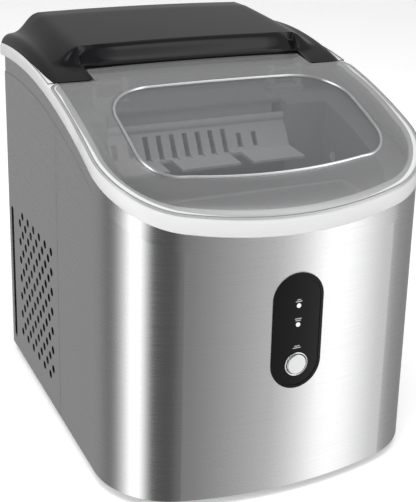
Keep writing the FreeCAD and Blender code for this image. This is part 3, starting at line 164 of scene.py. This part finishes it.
# ---------------------------------------------------------------- steel casing
# Front wrap, two vented side panels and a back panel, bent from brushed stainless sheet.
# The grain runs level all round; screws hold the back panel to the base pan.
def effect_group(name, inputs, outputs):
    """Empty node group with number inputs and the given outputs; returns it with its two end nodes."""
    group = bpy.data.node_groups.new(name, "ShaderNodeTree")
    for label, value in inputs.items():
        made = group.interface.new_socket(name=label, in_out="INPUT", socket_type="NodeSocketFloat")
        made.default_value = value
    for label in outputs:
        group.interface.new_socket(name=label, in_out="OUTPUT", socket_type="NodeSocketFloat")
    return group, group.nodes.new("NodeGroupInput"), group.nodes.new("NodeGroupOutput")


def use_group(nodes, group, **values):
    """Place a node group and set its inputs."""
    placed = nodes.new("ShaderNodeGroup")
    placed.node_tree = group
    for label, value in values.items():
        placed.inputs[label.replace("_", " ").capitalize()].default_value = value
    return placed


# brushed grain: long level scratches in three widths, and slow clouding along them
grain, grain_in, grain_out = effect_group("brushed_grain", {"Fineness": 1.0, "Length": 1.0},
                                          ("Scratch", "Cloud"))
gn, gl = grain.nodes, grain.links
place = gn.new("ShaderNodeTexCoord")
layers = []
for fine, long in ((2600, 14), (900, 7), (5200, 30)):
    stretch = gn.new("ShaderNodeCombineXYZ")
    for axis, base, socket in (("X", long, "Length"), ("Y", long, "Length"), ("Z", fine, "Fineness")):
        scale = gn.new("ShaderNodeMath")
        scale.operation = "MULTIPLY"
        scale.inputs[0].default_value = base
        gl.new(grain_in.outputs[socket], scale.inputs[1])
        gl.new(scale.outputs[0], stretch.inputs[axis])
    spread = gn.new("ShaderNodeVectorMath")
    spread.operation = "MULTIPLY"
    gl.new(place.outputs["Object"], spread.inputs[0])
    gl.new(stretch.outputs[0], spread.inputs[1])
    noise = gn.new("ShaderNodeTexNoise")
    noise.inputs["Scale"].default_value = 1
    noise.inputs["Detail"].default_value = 3
    gl.new(spread.outputs[0], noise.inputs["Vector"])
    layers.append(noise)
blend = gn.new("ShaderNodeMath")
blend.operation = "ADD"
gl.new(layers[0].outputs["Fac"], blend.inputs[0])
gl.new(layers[2].outputs["Fac"], blend.inputs[1])
halve = gn.new("ShaderNodeMath")
halve.operation = "MULTIPLY"
halve.inputs[1].default_value = 0.5
gl.new(blend.outputs[0], halve.inputs[0])
gl.new(halve.outputs[0], grain_out.inputs["Scratch"])
gl.new(layers[1].outputs["Fac"], grain_out.inputs["Cloud"])


def brushed_metal(name, tint, roughness):
    """Steel with the brushed grain, whose highlight is drawn out across the grain."""
    made, nodes, links, shader = plain_material(name, tint, roughness, 1.0)
    lines = use_group(nodes, grain, fineness=1.0, length=1.0)
    tone = nodes.new("ShaderNodeMapRange")
    tone.inputs["To Min"].default_value = 0.90
    tone.inputs["To Max"].default_value = 1.08
    links.new(lines.outputs["Scratch"], tone.inputs["Value"])
    colour = nodes.new("ShaderNodeVectorMath")
    colour.operation = "SCALE"
    colour.inputs[0].default_value = tint
    links.new(tone.outputs[0], colour.inputs["Scale"])
    links.new(colour.outputs[0], shader.inputs["Base Color"])
    rough = nodes.new("ShaderNodeMapRange")
    rough.inputs["To Min"].default_value = roughness - 0.05
    rough.inputs["To Max"].default_value = roughness + 0.07
    links.new(lines.outputs["Cloud"], rough.inputs["Value"])
    links.new(rough.outputs[0], shader.inputs["Roughness"])
    relief = nodes.new("ShaderNodeBump")
    relief.inputs["Strength"].default_value = 0.25
    relief.inputs["Distance"].default_value = 0.00004
    links.new(lines.outputs["Scratch"], relief.inputs["Height"])
    links.new(relief.outputs[0], shader.inputs["Normal"])
    tangent = nodes.new("ShaderNodeTangent")
    tangent.direction_type = "RADIAL"
    tangent.axis = "Z"
    links.new(tangent.outputs[0], shader.inputs["Tangent"])
    shader.inputs["Anisotropic"].default_value = 0.75
    shader.inputs["Anisotropic Rotation"].default_value = 0.25
    return made


def finish(material, *nodes):
    """Give CAD pieces their material."""
    for node in nodes:
        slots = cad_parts[node].data.materials
        for place in range(len(slots)):
            slots[place] = material


stainless = brushed_metal("brushed_stainless", (0.66, 0.66, 0.665), 0.27)
finish(stainless, "front_wrap", "left_side_panel", "right_side_panel")
finish(brushed_metal("back_sheet", (0.5, 0.5, 0.51), 0.42), "back_panel")

# ---------------------------------------------------------------- base pan, feet and screws
# Textured black moulded pan inside the foot of the casing, four rubber feet with stems through its
# floor, and the zinc-plated screws that hold the back panel to its rear wall.
# moulded surface: a fine skin texture and slow colour drift, as on any injection moulding
skin, skin_in, skin_out = effect_group("moulded_skin", {"Scale": 900.0, "Drift": 14.0}, ("Grit", "Tone"))
sn, sl = skin.nodes, skin.links
place = sn.new("ShaderNodeTexCoord")
for socket, detail, target in (("Scale", 2, "Grit"), ("Drift", 4, "Tone")):
    noise = sn.new("ShaderNodeTexNoise")
    noise.inputs["Detail"].default_value = detail
    sl.new(place.outputs["Object"], noise.inputs["Vector"])
    sl.new(skin_in.outputs[socket], noise.inputs["Scale"])
    sl.new(noise.outputs["Fac"], skin_out.inputs[target])


def moulded(name, tint, roughness, grit=0.00002, scale=900.0, metallic=0.0, drift=0.05, specular=0.5):
    """Material with the moulded skin; grit is the depth of its texture in metres."""
    made, nodes, links, shader = plain_material(name, tint, roughness, metallic)
    surface = use_group(nodes, skin, scale=scale)
    tone = nodes.new("ShaderNodeMapRange")
    tone.inputs["To Min"].default_value = 1 - drift
    tone.inputs["To Max"].default_value = 1 + drift
    links.new(surface.outputs["Tone"], tone.inputs["Value"])
    colour = nodes.new("ShaderNodeVectorMath")
    colour.operation = "SCALE"
    colour.inputs[0].default_value = tint
    links.new(tone.outputs[0], colour.inputs["Scale"])
    links.new(colour.outputs[0], shader.inputs["Base Color"])
    rough = nodes.new("ShaderNodeMapRange")
    rough.inputs["To Min"].default_value = max(roughness - 0.04, 0.02)
    rough.inputs["To Max"].default_value = roughness + 0.05
    links.new(surface.outputs["Tone"], rough.inputs["Value"])
    links.new(rough.outputs[0], shader.inputs["Roughness"])
    relief = nodes.new("ShaderNodeBump")
    relief.inputs["Strength"].default_value = 0.5
    relief.inputs["Distance"].default_value = grit
    links.new(surface.outputs["Grit"], relief.inputs["Height"])
    links.new(relief.outputs[0], shader.inputs["Normal"])
    shader.inputs["Specular IOR Level"].default_value = specular
    return made


rubber = moulded("rubber_black", (0.02, 0.02, 0.02), 0.8, grit=0.00003, scale=1500)
finish(moulded("pan_black", (0.035, 0.035, 0.035), 0.6, grit=0.00006, scale=600), "base_pan")
finish(rubber, "rubber_feet")
finish(moulded("screw_steel", (0.6, 0.6, 0.61), 0.3, metallic=1.0), "back_screws")

# ---------------------------------------------------------------- white collar
# One white moulded ring that caps the casing all round, standing on the plain steel band.
# A shallow finger dish on each side, beside the lid's front half, is where the lid is lifted.
ROOF_Y, ROOF_Z = 89.0, -202.1                # centre of the arcs that the roof follows, seen from the side
ROOF_R, SHEET_EDGE_R = 460.0, 448.9          # collar's top face and just under the sheet edges
COLLAR_UP = 12.0                             # the collar stands this far above them, on a steel band
HALF_WIDTH = 119.0
FRONT_R, FRONT_CENTRE_Y = 291.46, 143.46     # bow of the front, seen from above
CORNER_R, CORNER_X, CORNER_Y = 57.0, 62.0, -82.65
CORNER_TURN = -74.67                         # where the bow runs into the corner, in degrees


def roof_height(radius, y):
    """Height of a roof arc of this radius at a given Y."""
    return ROOF_Z + math.sqrt(radius ** 2 - (y - ROOF_Y) ** 2)


def arc(cx, cy, r, start, end, count):
    """Points of an arc, without its last point; angles in degrees from +X."""
    turns = [math.radians(start + (end - start) * i / count) for i in range(count)]
    return [(cx + r * math.cos(a), cy + r * math.sin(a)) for a in turns]


def line(a, b, count):
    """Points of a straight line, without its last point."""
    return [(a[0] + (b[0] - a[0]) * i / count, a[1] + (b[1] - a[1]) * i / count) for i in range(count)]


def mirrored(half):
    """Close a right half that runs from the front middle to the back middle."""
    return half + [(-x, y) for x, y in half[-2:0:-1]]


def front_half(offset):
    """Right half of the casing's bowed front, moved outwards by offset, up to the side."""
    return (arc(0, FRONT_CENTRE_Y, FRONT_R + offset, -90, CORNER_TURN, 16)
            + arc(CORNER_X, CORNER_Y, CORNER_R + offset, CORNER_TURN, 0, 26))


def casing_outline(offset, rear_y, rear_r):
    """Casing seen from above, moved outwards by offset and closed at rear_y with round corners."""
    side = HALF_WIDTH + offset
    half = front_half(offset) + line((side, CORNER_Y), (side, rear_y - rear_r), 60)
    half += arc(side - rear_r, rear_y - rear_r, rear_r, 0, 90, 10)
    return mirrored(half + line((side - rear_r, rear_y), (0, rear_y), 16) + [(0, rear_y)])


def face_outwards(shape):
    """Turn an open skin's faces up and outwards."""
    bmesh.ops.recalc_face_normals(shape, faces=shape.faces)
    shape.normal_update()
    if sum(f.normal.z * f.calc_area() for f in shape.faces) < 0:
        bmesh.ops.reverse_faces(shape, faces=shape.faces)


def loft(name, rings, material, closed=False, cap=False):
    """Skin through rings that have matching points."""
    count = len(rings[0])
    points = [tuple(v * MM for v in p) for ring in rings for p in ring]
    last = len(rings) if closed else len(rings) - 1
    faces = []
    for i in range(last):
        a, b = i * count, (i + 1) % len(rings) * count
        faces += [(a + j, a + (j + 1) % count, b + (j + 1) % count, b + j) for j in range(count)]
    if cap:
        faces.append(tuple(range((len(rings) - 1) * count, len(rings) * count)))
    piece = mesh_piece(name, points, faces, material)
    shape = bmesh.new()
    shape.from_mesh(piece.data)
    if closed:
        bmesh.ops.recalc_face_normals(shape, faces=shape.faces)
    else:
        face_outwards(shape)
    shape.to_mesh(piece.data)
    shape.free()
    return piece


def sharpen(piece, degrees):
    """Keep edges that turn more than this crisp."""
    split = piece.modifiers.new("edges", "EDGE_SPLIT")
    split.split_angle = math.radians(degrees)


OUTER, INNER = 2.0, -7.0                     # the collar's two faces, out from the casing
OUTER_BACK, INNER_BACK = 150.0, 128.5
OUTER_REAR_R, INNER_REAR_R = 14.0, 6.0
COLLAR_SECTION = [(OUTER, 451.2), (OUTER, 458.4), (1.6, 459.4), (0.8, ROOF_R), (-5.8, ROOF_R),
                  (INNER, 459.2), (INNER, 450.0), (0.8, 450.0), (1.6, 450.4)]
DISH_Y, DISH_HALF, DISH_DEEP, DISH_FLOOR_R = -56.0, 13.0, 1.9, 455.0
rings = []
for offset, radius in COLLAR_SECTION:
    share = (OUTER - offset) / (OUTER - INNER)
    back_y = OUTER_BACK - (OUTER_BACK - INNER_BACK) * share
    rear_r = OUTER_REAR_R - (OUTER_REAR_R - INNER_REAR_R) * share
    ring = []
    for x, y in casing_outline(offset, back_y, rear_r):
        z = roof_height(radius, y) + COLLAR_UP
        reach = 1 - ((y - DISH_Y) / DISH_HALF) ** 2
        if reach > 0 and offset > 0 and radius > DISH_FLOOR_R:
            x -= math.copysign(DISH_DEEP * math.sqrt(reach), x)
        ring.append((x, y, z))
    rings.append(ring)
collar_white = moulded("collar_white", (0.66, 0.66, 0.665), 0.3)
collar = loft("white_collar", rings, collar_white, closed=True)
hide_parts("top_collar")
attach(collar, "casing")

# ---------------------------------------------------------------- steel band
# The top of the steel casing, between the edges of its sheets and the collar. It is the same
# brushed sheet, flush with the wrap and the side panels.
SHEET_T, BAND_BACK, BAND_REAR_R, BAND_TOP_R = 1.2, 133.5, 2.5, 451.0
rings = []
for offset, radius, lift in ((0, SHEET_EDGE_R, 0), (0, BAND_TOP_R, COLLAR_UP),
                             (-SHEET_T, BAND_TOP_R, COLLAR_UP), (-SHEET_T, SHEET_EDGE_R, 0)):
    outline = casing_outline(offset, BAND_BACK + offset, BAND_REAR_R)
    rings.append([(x, y, roof_height(radius, y) + lift) for x, y in outline])
band = loft("steel_band", rings, stainless, closed=True)
sharpen(band, 40)
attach(band, "casing")

# ---------------------------------------------------------------- rear cover
# Glossy black moulding that stands over the collar and covers the ice machinery. It is drawn as a
# skin without thickness: a low shoulder that follows the roof, and a raised middle that climbs to
# the back and has a soft crease round it.
COVER_SIDE, COVER_BACK, COVER_CORNER = 120.0, 149.5, 14.0
COVER_EDGE_R, COVER_FOOT_R = 8.0, 460.6
EAR_FRONT, NOTCH_FRONT, NOTCH_X = 8.0, 27.2, 88.0      # two ears reach forward beside the lid's tab
NOTCH_EDGE_Z = 267.6
SHOULDER_R, SHOULDER_Y, SHOULDER_TOP = 300.0, 97.0, 277.0
HUMP_X, HUMP_START, HUMP_LEVEL = 88.0, 38.0, 125.0
HUMP_START_Z, HUMP_CLIMB, HUMP_CROWN = 282.0, 7.2, 1.3
HUMP_SIDE_RUN, HUMP_FRONT_RUN = 21.0, 12.7             # how far its slopes run out
HUMP_CORNER_R, HUMP_CORNER_RUN = 16.0, 37.0
CREASE = 0.10                                          # how much the slope's two ends are rounded
HAIR = 0.1                                             # tolerance for telling edges apart


def smooth(t):
    """Rise from 0 to 1 with level ends."""
    t = min(max(t, 0.0), 1.0)
    return t * t * (3 - 2 * t)


def cover_half_width(y):
    """Half the cover's width at a given Y; its rear corners are round."""
    over = y - (COVER_BACK - COVER_CORNER)
    if over <= 0:
        return COVER_SIDE
    return COVER_SIDE - COVER_CORNER + math.sqrt(max(COVER_CORNER ** 2 - over ** 2, 0))


def edge_drop(gap, r):
    """How far a rounded edge of radius r has dropped, this far inside the outline."""
    inside = min(max(gap, 0.0), r)
    return r - math.sqrt(max(r * r - (r - inside) ** 2, 0))


def cover_height(x, y):
    """Height of the cover's outer face: the shoulder, with the raised middle blended onto it."""
    shoulder = SHOULDER_TOP - SHOULDER_R + math.sqrt(SHOULDER_R ** 2 - (y - SHOULDER_Y) ** 2)
    shoulder -= edge_drop(cover_half_width(y) - abs(x), COVER_EDGE_R)
    climb = min((y - HUMP_START) / (HUMP_LEVEL - HUMP_START), 1.0)
    crown = 1 - min(abs(x) / HUMP_X, 1.0) ** 2
    plateau = HUMP_START_Z + HUMP_CLIMB * climb + HUMP_CROWN * crown
    beside = max(abs(x) - HUMP_X, 0) / HUMP_SIDE_RUN
    ahead = max(HUMP_START - y, 0) / HUMP_FRONT_RUN
    corner = max(0.0, abs(x) - (HUMP_X - HUMP_CORNER_R)) / HUMP_CORNER_RUN
    if ahead > 0 and beside > 0:
        fall = math.hypot(beside, ahead)
    else:
        fall = max(beside, ahead + corner * (ahead > 0))
    rise = 1 - min(fall, 1.0)
    rise -= CREASE * math.sin(2 * math.pi * rise)
    # the shoulder is a little higher behind the lid's tab
    base = shoulder + 1.4 * smooth((NOTCH_X + 3 - abs(x)) / 6) * smooth((60 - y) / 20)
    height = base + max(plateau - base, 0) * rise
    return height - edge_drop(COVER_BACK - y, COVER_EDGE_R) * (0.4 + 0.6 * rise)


# columns across, as shares of the half width, and rows from front to back: closer at the edges
columns = [0, 0.1, 0.2, 0.3, 0.4, 0.5, 0.6, 0.68, NOTCH_X / COVER_SIDE, 0.745, 0.76, 0.775, 0.79, 0.81,
           0.83, 0.85, 0.87, 0.89, 0.905, 0.92, 0.935, 0.95, 0.962, 0.973, 0.982, 0.989, 0.994, 0.998, 1.0]
columns = [-u for u in columns[:0:-1]] + columns
rows = [EAR_FRONT, 9, 12, 15, 18, 21, 24, NOTCH_FRONT, 28, 30, 32, 34, 35.5, 37, 38, 39, 40.5, 43, 47, 53,
        60, 68, 76, 85, 95, 105, 114, 121, 125, 129, 133, 136, 138.5, 140.5, 142.5, 144, 145.3, 146.5, 147.5,
        148.3, 148.9, 149.3, COVER_BACK]
points, faces, spot = [], [], {}
for r, y in enumerate(rows):
    for c, u in enumerate(columns):
        x = u * cover_half_width(y)
        if y < NOTCH_FRONT and abs(x) < NOTCH_X - HAIR:
            continue
        spot[r, c] = len(points)
        points.append((x * MM, y * MM, cover_height(x, y) * MM))
for r in range(len(rows) - 1):
    for c in range(len(columns) - 1):
        cell = [spot.get(k) for k in ((r, c), (r, c + 1), (r + 1, c + 1), (r + 1, c))]
        if None not in cell:
            faces.append(cell)
cover_black = moulded("cover_black", (0.006, 0.006, 0.007), 0.13, drift=0.1, specular=0.32)
cover = mesh_piece("rear_cover_skin", points, faces, cover_black)
shape = bmesh.new()
shape.from_mesh(cover.data)


def pulled_down(edges):
    """New corners of the wall that is drawn out from these edges."""
    drawn = bmesh.ops.extrude_edge_only(shape, edges=edges)["geom"]
    return [v for v in drawn if isinstance(v, bmesh.types.BMVert)]


for v in pulled_down([e for e in shape.edges if e.is_boundary]):
    in_notch = abs(v.co.y / MM - NOTCH_FRONT) < HAIR and abs(v.co.x) / MM < NOTCH_X + HAIR
    foot = roof_height(COVER_FOOT_R, v.co.y / MM) + COLLAR_UP
    v.co.z = NOTCH_EDGE_Z * MM if in_notch else foot * MM


def on_notch_wall(v):
    """Whether a corner belongs to the wall behind the lid's tab."""
    return (abs(v.co.x) / MM < NOTCH_X + HAIR and NOTCH_FRONT - HAIR < v.co.y / MM < 40
            and v.co.z / MM > 260)


# the wall behind the lid's tab is hollowed about the hinge, so that the tab can swing through
for y, z in ((29.4, 264.9), (31.2, 260.8), (31.6, 257.0)):
    rim = [e for e in shape.edges if e.is_boundary and all(on_notch_wall(v) for v in e.verts)]
    for v in pulled_down(rim):
        v.co.y, v.co.z = y * MM, z * MM
face_outwards(shape)
shape.to_mesh(cover.data)
shape.free()
sharpen(cover, 50)
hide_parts("rear_cover")
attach(cover, "casing")

# ---------------------------------------------------------------- lid
# Smoky clear lid that swings on two hinge knuckles under its rear tab. The rim is one moulding;
# the window is a clear pane set in its rebate, with a raised bead where they meet.
LID_R, LID_FOOT_R, LID_INSET = 473.0, 460.7, 0.5
LID_EDGE_W, LID_EDGE_H = 14.0, 4.4           # rounded outer edge, seen in section
TAB_EDGE, EAR_EDGE = 1.0, 4.0                # the same at the back, where it is crisper
LID_BACK, LID_CORNER_R, TAB_BACK, TAB_X = 5.6, 8.0, 24.3, 87.0
MIDDLE = (0.0, -65.0)                        # the lid's rings are drawn in towards this point

side = HALF_WIDTH - LID_INSET
half = front_half(-LID_INSET) + line((side, CORNER_Y), (side, LID_BACK - LID_CORNER_R), 44)
half += arc(side - LID_CORNER_R, LID_BACK - LID_CORNER_R, LID_CORNER_R, 0, 90, 8)
half += line((side - LID_CORNER_R, LID_BACK), (TAB_X, LID_BACK), 12)
half += line((TAB_X, LID_BACK), (TAB_X, TAB_BACK), 10) + line((TAB_X, TAB_BACK), (0, TAB_BACK), 30)
lid_edge = mirrored(half + [(0, TAB_BACK)])

WINDOW_X, WINDOW_REAR, WINDOW_FRONT = 92.0, -16.6, -113.2
WINDOW_REAR_R, WINDOW_FRONT_R = 36.0, 25.6
WINDOW_BOW, BOW_HALF = 6.2, 66.0             # its front edge bows forward by this, over this half width
half = [(x, WINDOW_FRONT - WINDOW_BOW + WINDOW_BOW * (x / BOW_HALF) ** 2)
        for x in (0, 8, 16, 24, 32, 40, 48, 54, 60)]
half += arc(WINDOW_X - WINDOW_FRONT_R, WINDOW_FRONT + WINDOW_FRONT_R, WINDOW_FRONT_R, -90, 0, 16)
half += line((WINDOW_X, WINDOW_FRONT + WINDOW_FRONT_R), (WINDOW_X, WINDOW_REAR - WINDOW_REAR_R), 12)
half += arc(WINDOW_X - WINDOW_REAR_R, WINDOW_REAR - WINDOW_REAR_R, WINDOW_REAR_R, 0, 90, 20)
half += line((WINDOW_X - WINDOW_REAR_R, WINDOW_REAR), (0, WINDOW_REAR), 10) + [(0, WINDOW_REAR)]
window_edge = mirrored(half)


def between(a, b, share):
    """Point this share of the way from a to b."""
    return a[0] + (b[0] - a[0]) * share, a[1] + (b[1] - a[1]) * share


def on_loop(loop, point):
    """Where the ray from the middle through a point meets a loop round the middle."""
    dx, dy = point[0] - MIDDLE[0], point[1] - MIDDLE[1]
    for (ax, ay), (bx, by) in zip(loop, loop[1:] + loop[:1]):
        ax, ay, bx, by = ax - MIDDLE[0], ay - MIDDLE[1], bx - MIDDLE[0], by - MIDDLE[1]
        sa, sb = dx * ay - dy * ax, dx * by - dy * bx
        if sa * sb <= 0 and sa != sb:
            t = sa / (sa - sb)
            px, py = ax + (bx - ax) * t, ay + (by - ay) * t
            if px * dx + py * dy > 0:
                return px + MIDDLE[0], py + MIDDLE[1]
    return point


EDGE_SAMPLES = 4
window_points = [on_loop(window_edge, p) for p in lid_edge]
near_edge = KDTree(len(lid_edge) * EDGE_SAMPLES)
for i, (a, b) in enumerate(zip(lid_edge, lid_edge[1:] + lid_edge[:1])):
    for k in range(EDGE_SAMPLES):
        near_edge.insert((*between(a, b, k / EDGE_SAMPLES), 0), i * EDGE_SAMPLES + k)
near_edge.balance()


def crest(x, y):
    """The lid's upper face away from its edge: a roof arc that swells to the back, hollow across."""
    to_back = 2.6 * smooth((y + 119) / 105)
    along = 1.4 * smooth((y + 150) / 60) * smooth((10 - y) / 60)
    return roof_height(LID_R, y) + (to_back + along) - 1.4 * (x / WINDOW_X) ** 2


def lid_height(x, y):
    """The upper face with its rounded outer edge."""
    gap = near_edge.find((x, y, 0))[2]
    fade = smooth((LID_BACK + 1 - y) / 22)
    crisp = TAB_EDGE if abs(x) < TAB_X + 0.5 else EAR_EDGE
    w, h = crisp + (LID_EDGE_W - crisp) * fade, crisp + (LID_EDGE_H - crisp) * fade
    return crest(x, y) - h * (1 - math.sqrt(max(1 - (1 - min(gap / w, 1)) ** 2, 0)))


def lid_ring(share):
    """Ring this share of the way in from the lid's edge to the window's."""
    ring = [between(a, b, share) for a, b in zip(lid_edge, window_points)]
    return [(x, y, lid_height(x, y)) for x, y in ring]


def pane_ring(share, lift):
    """Ring this share of the way in from the window's edge to the middle, above the crest by lift."""
    ring = [between(p, MIDDLE, share) for p in window_points]
    return [(x, y, crest(x, y) + lift) for x, y in ring]


def smoky(name, tint, roughness, straight, grazing, sheen):
    """Tinted clear plastic: it hides more of what is behind it where it is seen edge on."""
    made, nodes, links, shader = plain_material(name, tint, roughness, sheen)
    shader.inputs["Coat Weight"].default_value = 1.0
    shader.inputs["Coat Roughness"].default_value = 0.08
    edge = nodes.new("ShaderNodeLayerWeight")
    edge.inputs["Blend"].default_value = 0.3
    veil = nodes.new("ShaderNodeMapRange")
    veil.inputs["To Min"].default_value = straight
    veil.inputs["To Max"].default_value = grazing
    links.new(edge.outputs["Facing"], veil.inputs["Value"])
    links.new(veil.outputs[0], shader.inputs["Alpha"])
    return made


def thicken(piece, thickness):
    """Give a skin a wall of this thickness, inwards."""
    wall = piece.modifiers.new("wall", "SOLIDIFY")
    wall.thickness = thickness * MM
    wall.offset = -1


rings = [[(x, y, roof_height(LID_FOOT_R, y) + COLLAR_UP) for x, y in lid_edge]]
rings += [lid_ring(share) for share in (0, 0.004, 0.015, 0.03, 0.05, 0.08, 0.11, 0.15, 0.2, 0.25, 0.31,
                                        0.4, 0.5, 0.65, 0.8, 0.92, 1.0)]
lid_rim = loft("lid_rim", rings, smoky("lid_rim_clear", (0.5, 0.503, 0.51), 0.24, 0.4, 0.9, 0.7))
thicken(lid_rim, 2.2)
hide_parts("lid_shell")
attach(lid_rim, "lid")

# raised bead, as (share of the way to the middle, height over the crest)
BEAD = [(0.002, -0.4), (0.003, 0.3), (0.007, 0.8), (0.013, 1.0), (0.019, 0.8), (0.024, 0.3), (0.027, -0.4)]
# the bead's pale, near-silver colour is a painted highlight: it stands in for the light that the bead's step
# catches
bead_painted_highlight = smoky("lid_bead_painted_highlight", (0.8, 0.8, 0.81), 0.16, 0.85, 1.0, 0.8)
bead = loft("lid_bead", [pane_ring(share, lift) for share, lift in BEAD], bead_painted_highlight)
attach(bead, "lid")

PANE_LIFT = -0.3
rings = [pane_ring(share, PANE_LIFT) for share in (0.002, 0.027, 0.06, 0.12, 0.2, 0.3, 0.4, 0.5, 0.6,
                                                   0.7, 0.8, 0.9, 0.97)]
pane_clear = smoky("lid_pane_clear", (0.16, 0.163, 0.17), 0.1, 0.24, 0.7, 0.0)
pane = loft("lid_pane", rings, pane_clear, cap=True)
thicken(pane, 1.2)
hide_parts("lid_window")
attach(pane, "lid")

# ---------------------------------------------------------------- hinge
# Two pale moulded brackets stand on the liner's deck; a ground steel pin is pressed through the
# two ears of each, and a knuckle of the lid turns on it.
mechanism = moulded("mechanism_grey", (0.56, 0.56, 0.57), 0.5)
ground = moulded("pin_steel", (0.6, 0.6, 0.62), 0.18, metallic=1.0)
finish(mechanism, "hinge_bracket_left", "hinge_bracket_right")
finish(ground, "hinge_pin_left", "hinge_pin_right")

# ---------------------------------------------------------------- control panel
# Glossy black bezel with a raised rim, on a plug that fills a hole in the steel, round a silver
# push button and two lamp lenses; the board behind carries the switch and the lamps.
# Plain marks stand over the lamps and the button.
lens = moulded("led_clear", (0.8, 0.81, 0.82), 0.3)
board = moulded("board_green", (0.02, 0.12, 0.05), 0.35)
finish(moulded("panel_black", (0.004, 0.004, 0.0045), 0.2, specular=0.15), "control_bezel")
finish(moulded("button_silver", (0.8, 0.8, 0.81), 0.25, metallic=1.0), "control_button")
finish(lens, "led_lenses")
finish(board, "control_board")

LAMPS_Z, BUTTON_Z, BUTTON_R, PANEL_FACE = (127.5, 141.1), 98.8, 7.0, -148.45
RING_POINTS = 64
RING_SECTION = [(0.5, -148.3), (0.5, -148.9), (1.0, -149.2), (1.5, -148.9), (1.5, -148.3)]
turns = [a * math.tau / RING_POINTS for a in range(RING_POINTS)]
rings = []
for gap, y in RING_SECTION:
    r = BUTTON_R + gap
    rings.append([(r * math.cos(a), y, BUTTON_Z + r * math.sin(a)) for a in turns])
ring = loft("button_ring", rings, moulded("trim_silver", (0.85, 0.85, 0.86), 0.2, metallic=1.0))
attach(ring, "casing")

LAMP_MARK_UP, BUTTON_MARK_UP, MARK_PITCH, MARK_T = 2.6, 11.5, 1.3, 0.6
points, faces = [], []
for z, widths in ((LAMPS_Z[1] + LAMP_MARK_UP, (5.0, 3.0)), (LAMPS_Z[0] + LAMP_MARK_UP, (4.0, 5.0)),
                  (BUTTON_Z + BUTTON_MARK_UP, (6.0, 4.0))):
    for row, width in enumerate(widths):
        x, low = width / 2, z + MARK_PITCH * row
        corners = ((-x, low), (x, low), (x, low + MARK_T), (-x, low + MARK_T))
        points += [(a * MM, PANEL_FACE * MM, h * MM) for a, h in corners]
        faces.append(tuple(range(len(points) - 4, len(points))))
marks = mesh_piece("panel_marks", points, faces, moulded("mark_grey", (0.45, 0.45, 0.46), 0.5), smooth=False)
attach(marks, "casing")

# ---------------------------------------------------------------- ice bin
# The grey liner is one moulding with white foam round it. Pads on its side walls carry the
# lift-out basket, and two round lenses in them look across the bin.
liner_grey = moulded("liner_grey", (0.36, 0.365, 0.37), 0.45)
finish(liner_grey, "inner_liner", "basket_ledges")
finish(moulded("foam_white", (0.8, 0.8, 0.77), 0.9, grit=0.0003, scale=500), "foam_jacket")
finish(moulded("basket_grey", (0.34, 0.345, 0.35), 0.42), "ice_basket")
finish(lens, "ice_sensors")

# ---------------------------------------------------------------- ice making
# Nickel-plated evaporator with its dipping fingers, and a pale splash guard in front. The pale
# tray under them turns on a ground shaft that runs into a black gear motor; the slotted rake
# hangs from two pins.
nickel = moulded("nickel", (0.66, 0.65, 0.62), 0.2, metallic=1.0)
dark_moulding = moulded("motor_black", (0.03, 0.03, 0.03), 0.5, grit=0.00004)
finish(nickel, "evaporator_plate", "ice_fingers")
finish(mechanism, "evaporator_cover", "water_tray", "ice_rake")
finish(ground, "tray_shaft")
finish(dark_moulding, "tray_motor")

# ---------------------------------------------------------------- water
# Round black pump under the bin with a pale impeller, and a black float on a pale stem in it.
# One grey hose runs up to the pocket, another from the bin's floor to a sleeve in the back
# panel, where a rubber plug closes it.
rubber_grey = moulded("rubber_grey", (0.1, 0.1, 0.105), 0.7)
finish(mechanism, "float_stem", "pump_impeller")
finish(dark_moulding, "level_float", "pump_housing")
finish(rubber_grey, "water_hose", "drain_spout")
finish(rubber, "drain_plug")

# ---------------------------------------------------------------- refrigeration
# Enamelled compressor can on rubber grommets, aluminium fins on level tube rows, and a copper
# tube between the two. A black moulded fan stands in its shroud behind the left side's vents.
finish(moulded("compressor_black", (0.015, 0.015, 0.017), 0.25), "compressor")
finish(rubber_grey, "compressor_grommets")
finish(moulded("fin_aluminium", (0.7, 0.71, 0.72), 0.35, metallic=1.0), "condenser")
finish(moulded("copper", (0.72, 0.36, 0.22), 0.28, metallic=1.0), "hot_gas_tube")
finish(dark_moulding, "fan_shroud", "fan_motor", "fan_blades")

# ---------------------------------------------------------------- electrics
# Coated power board on four posts inside the right side, and a black inlet socket in the back
# panel with three nickel-plated pins.
finish(board, "main_board")
finish(dark_moulding, "power_inlet")
finish(nickel, "inlet_pins")
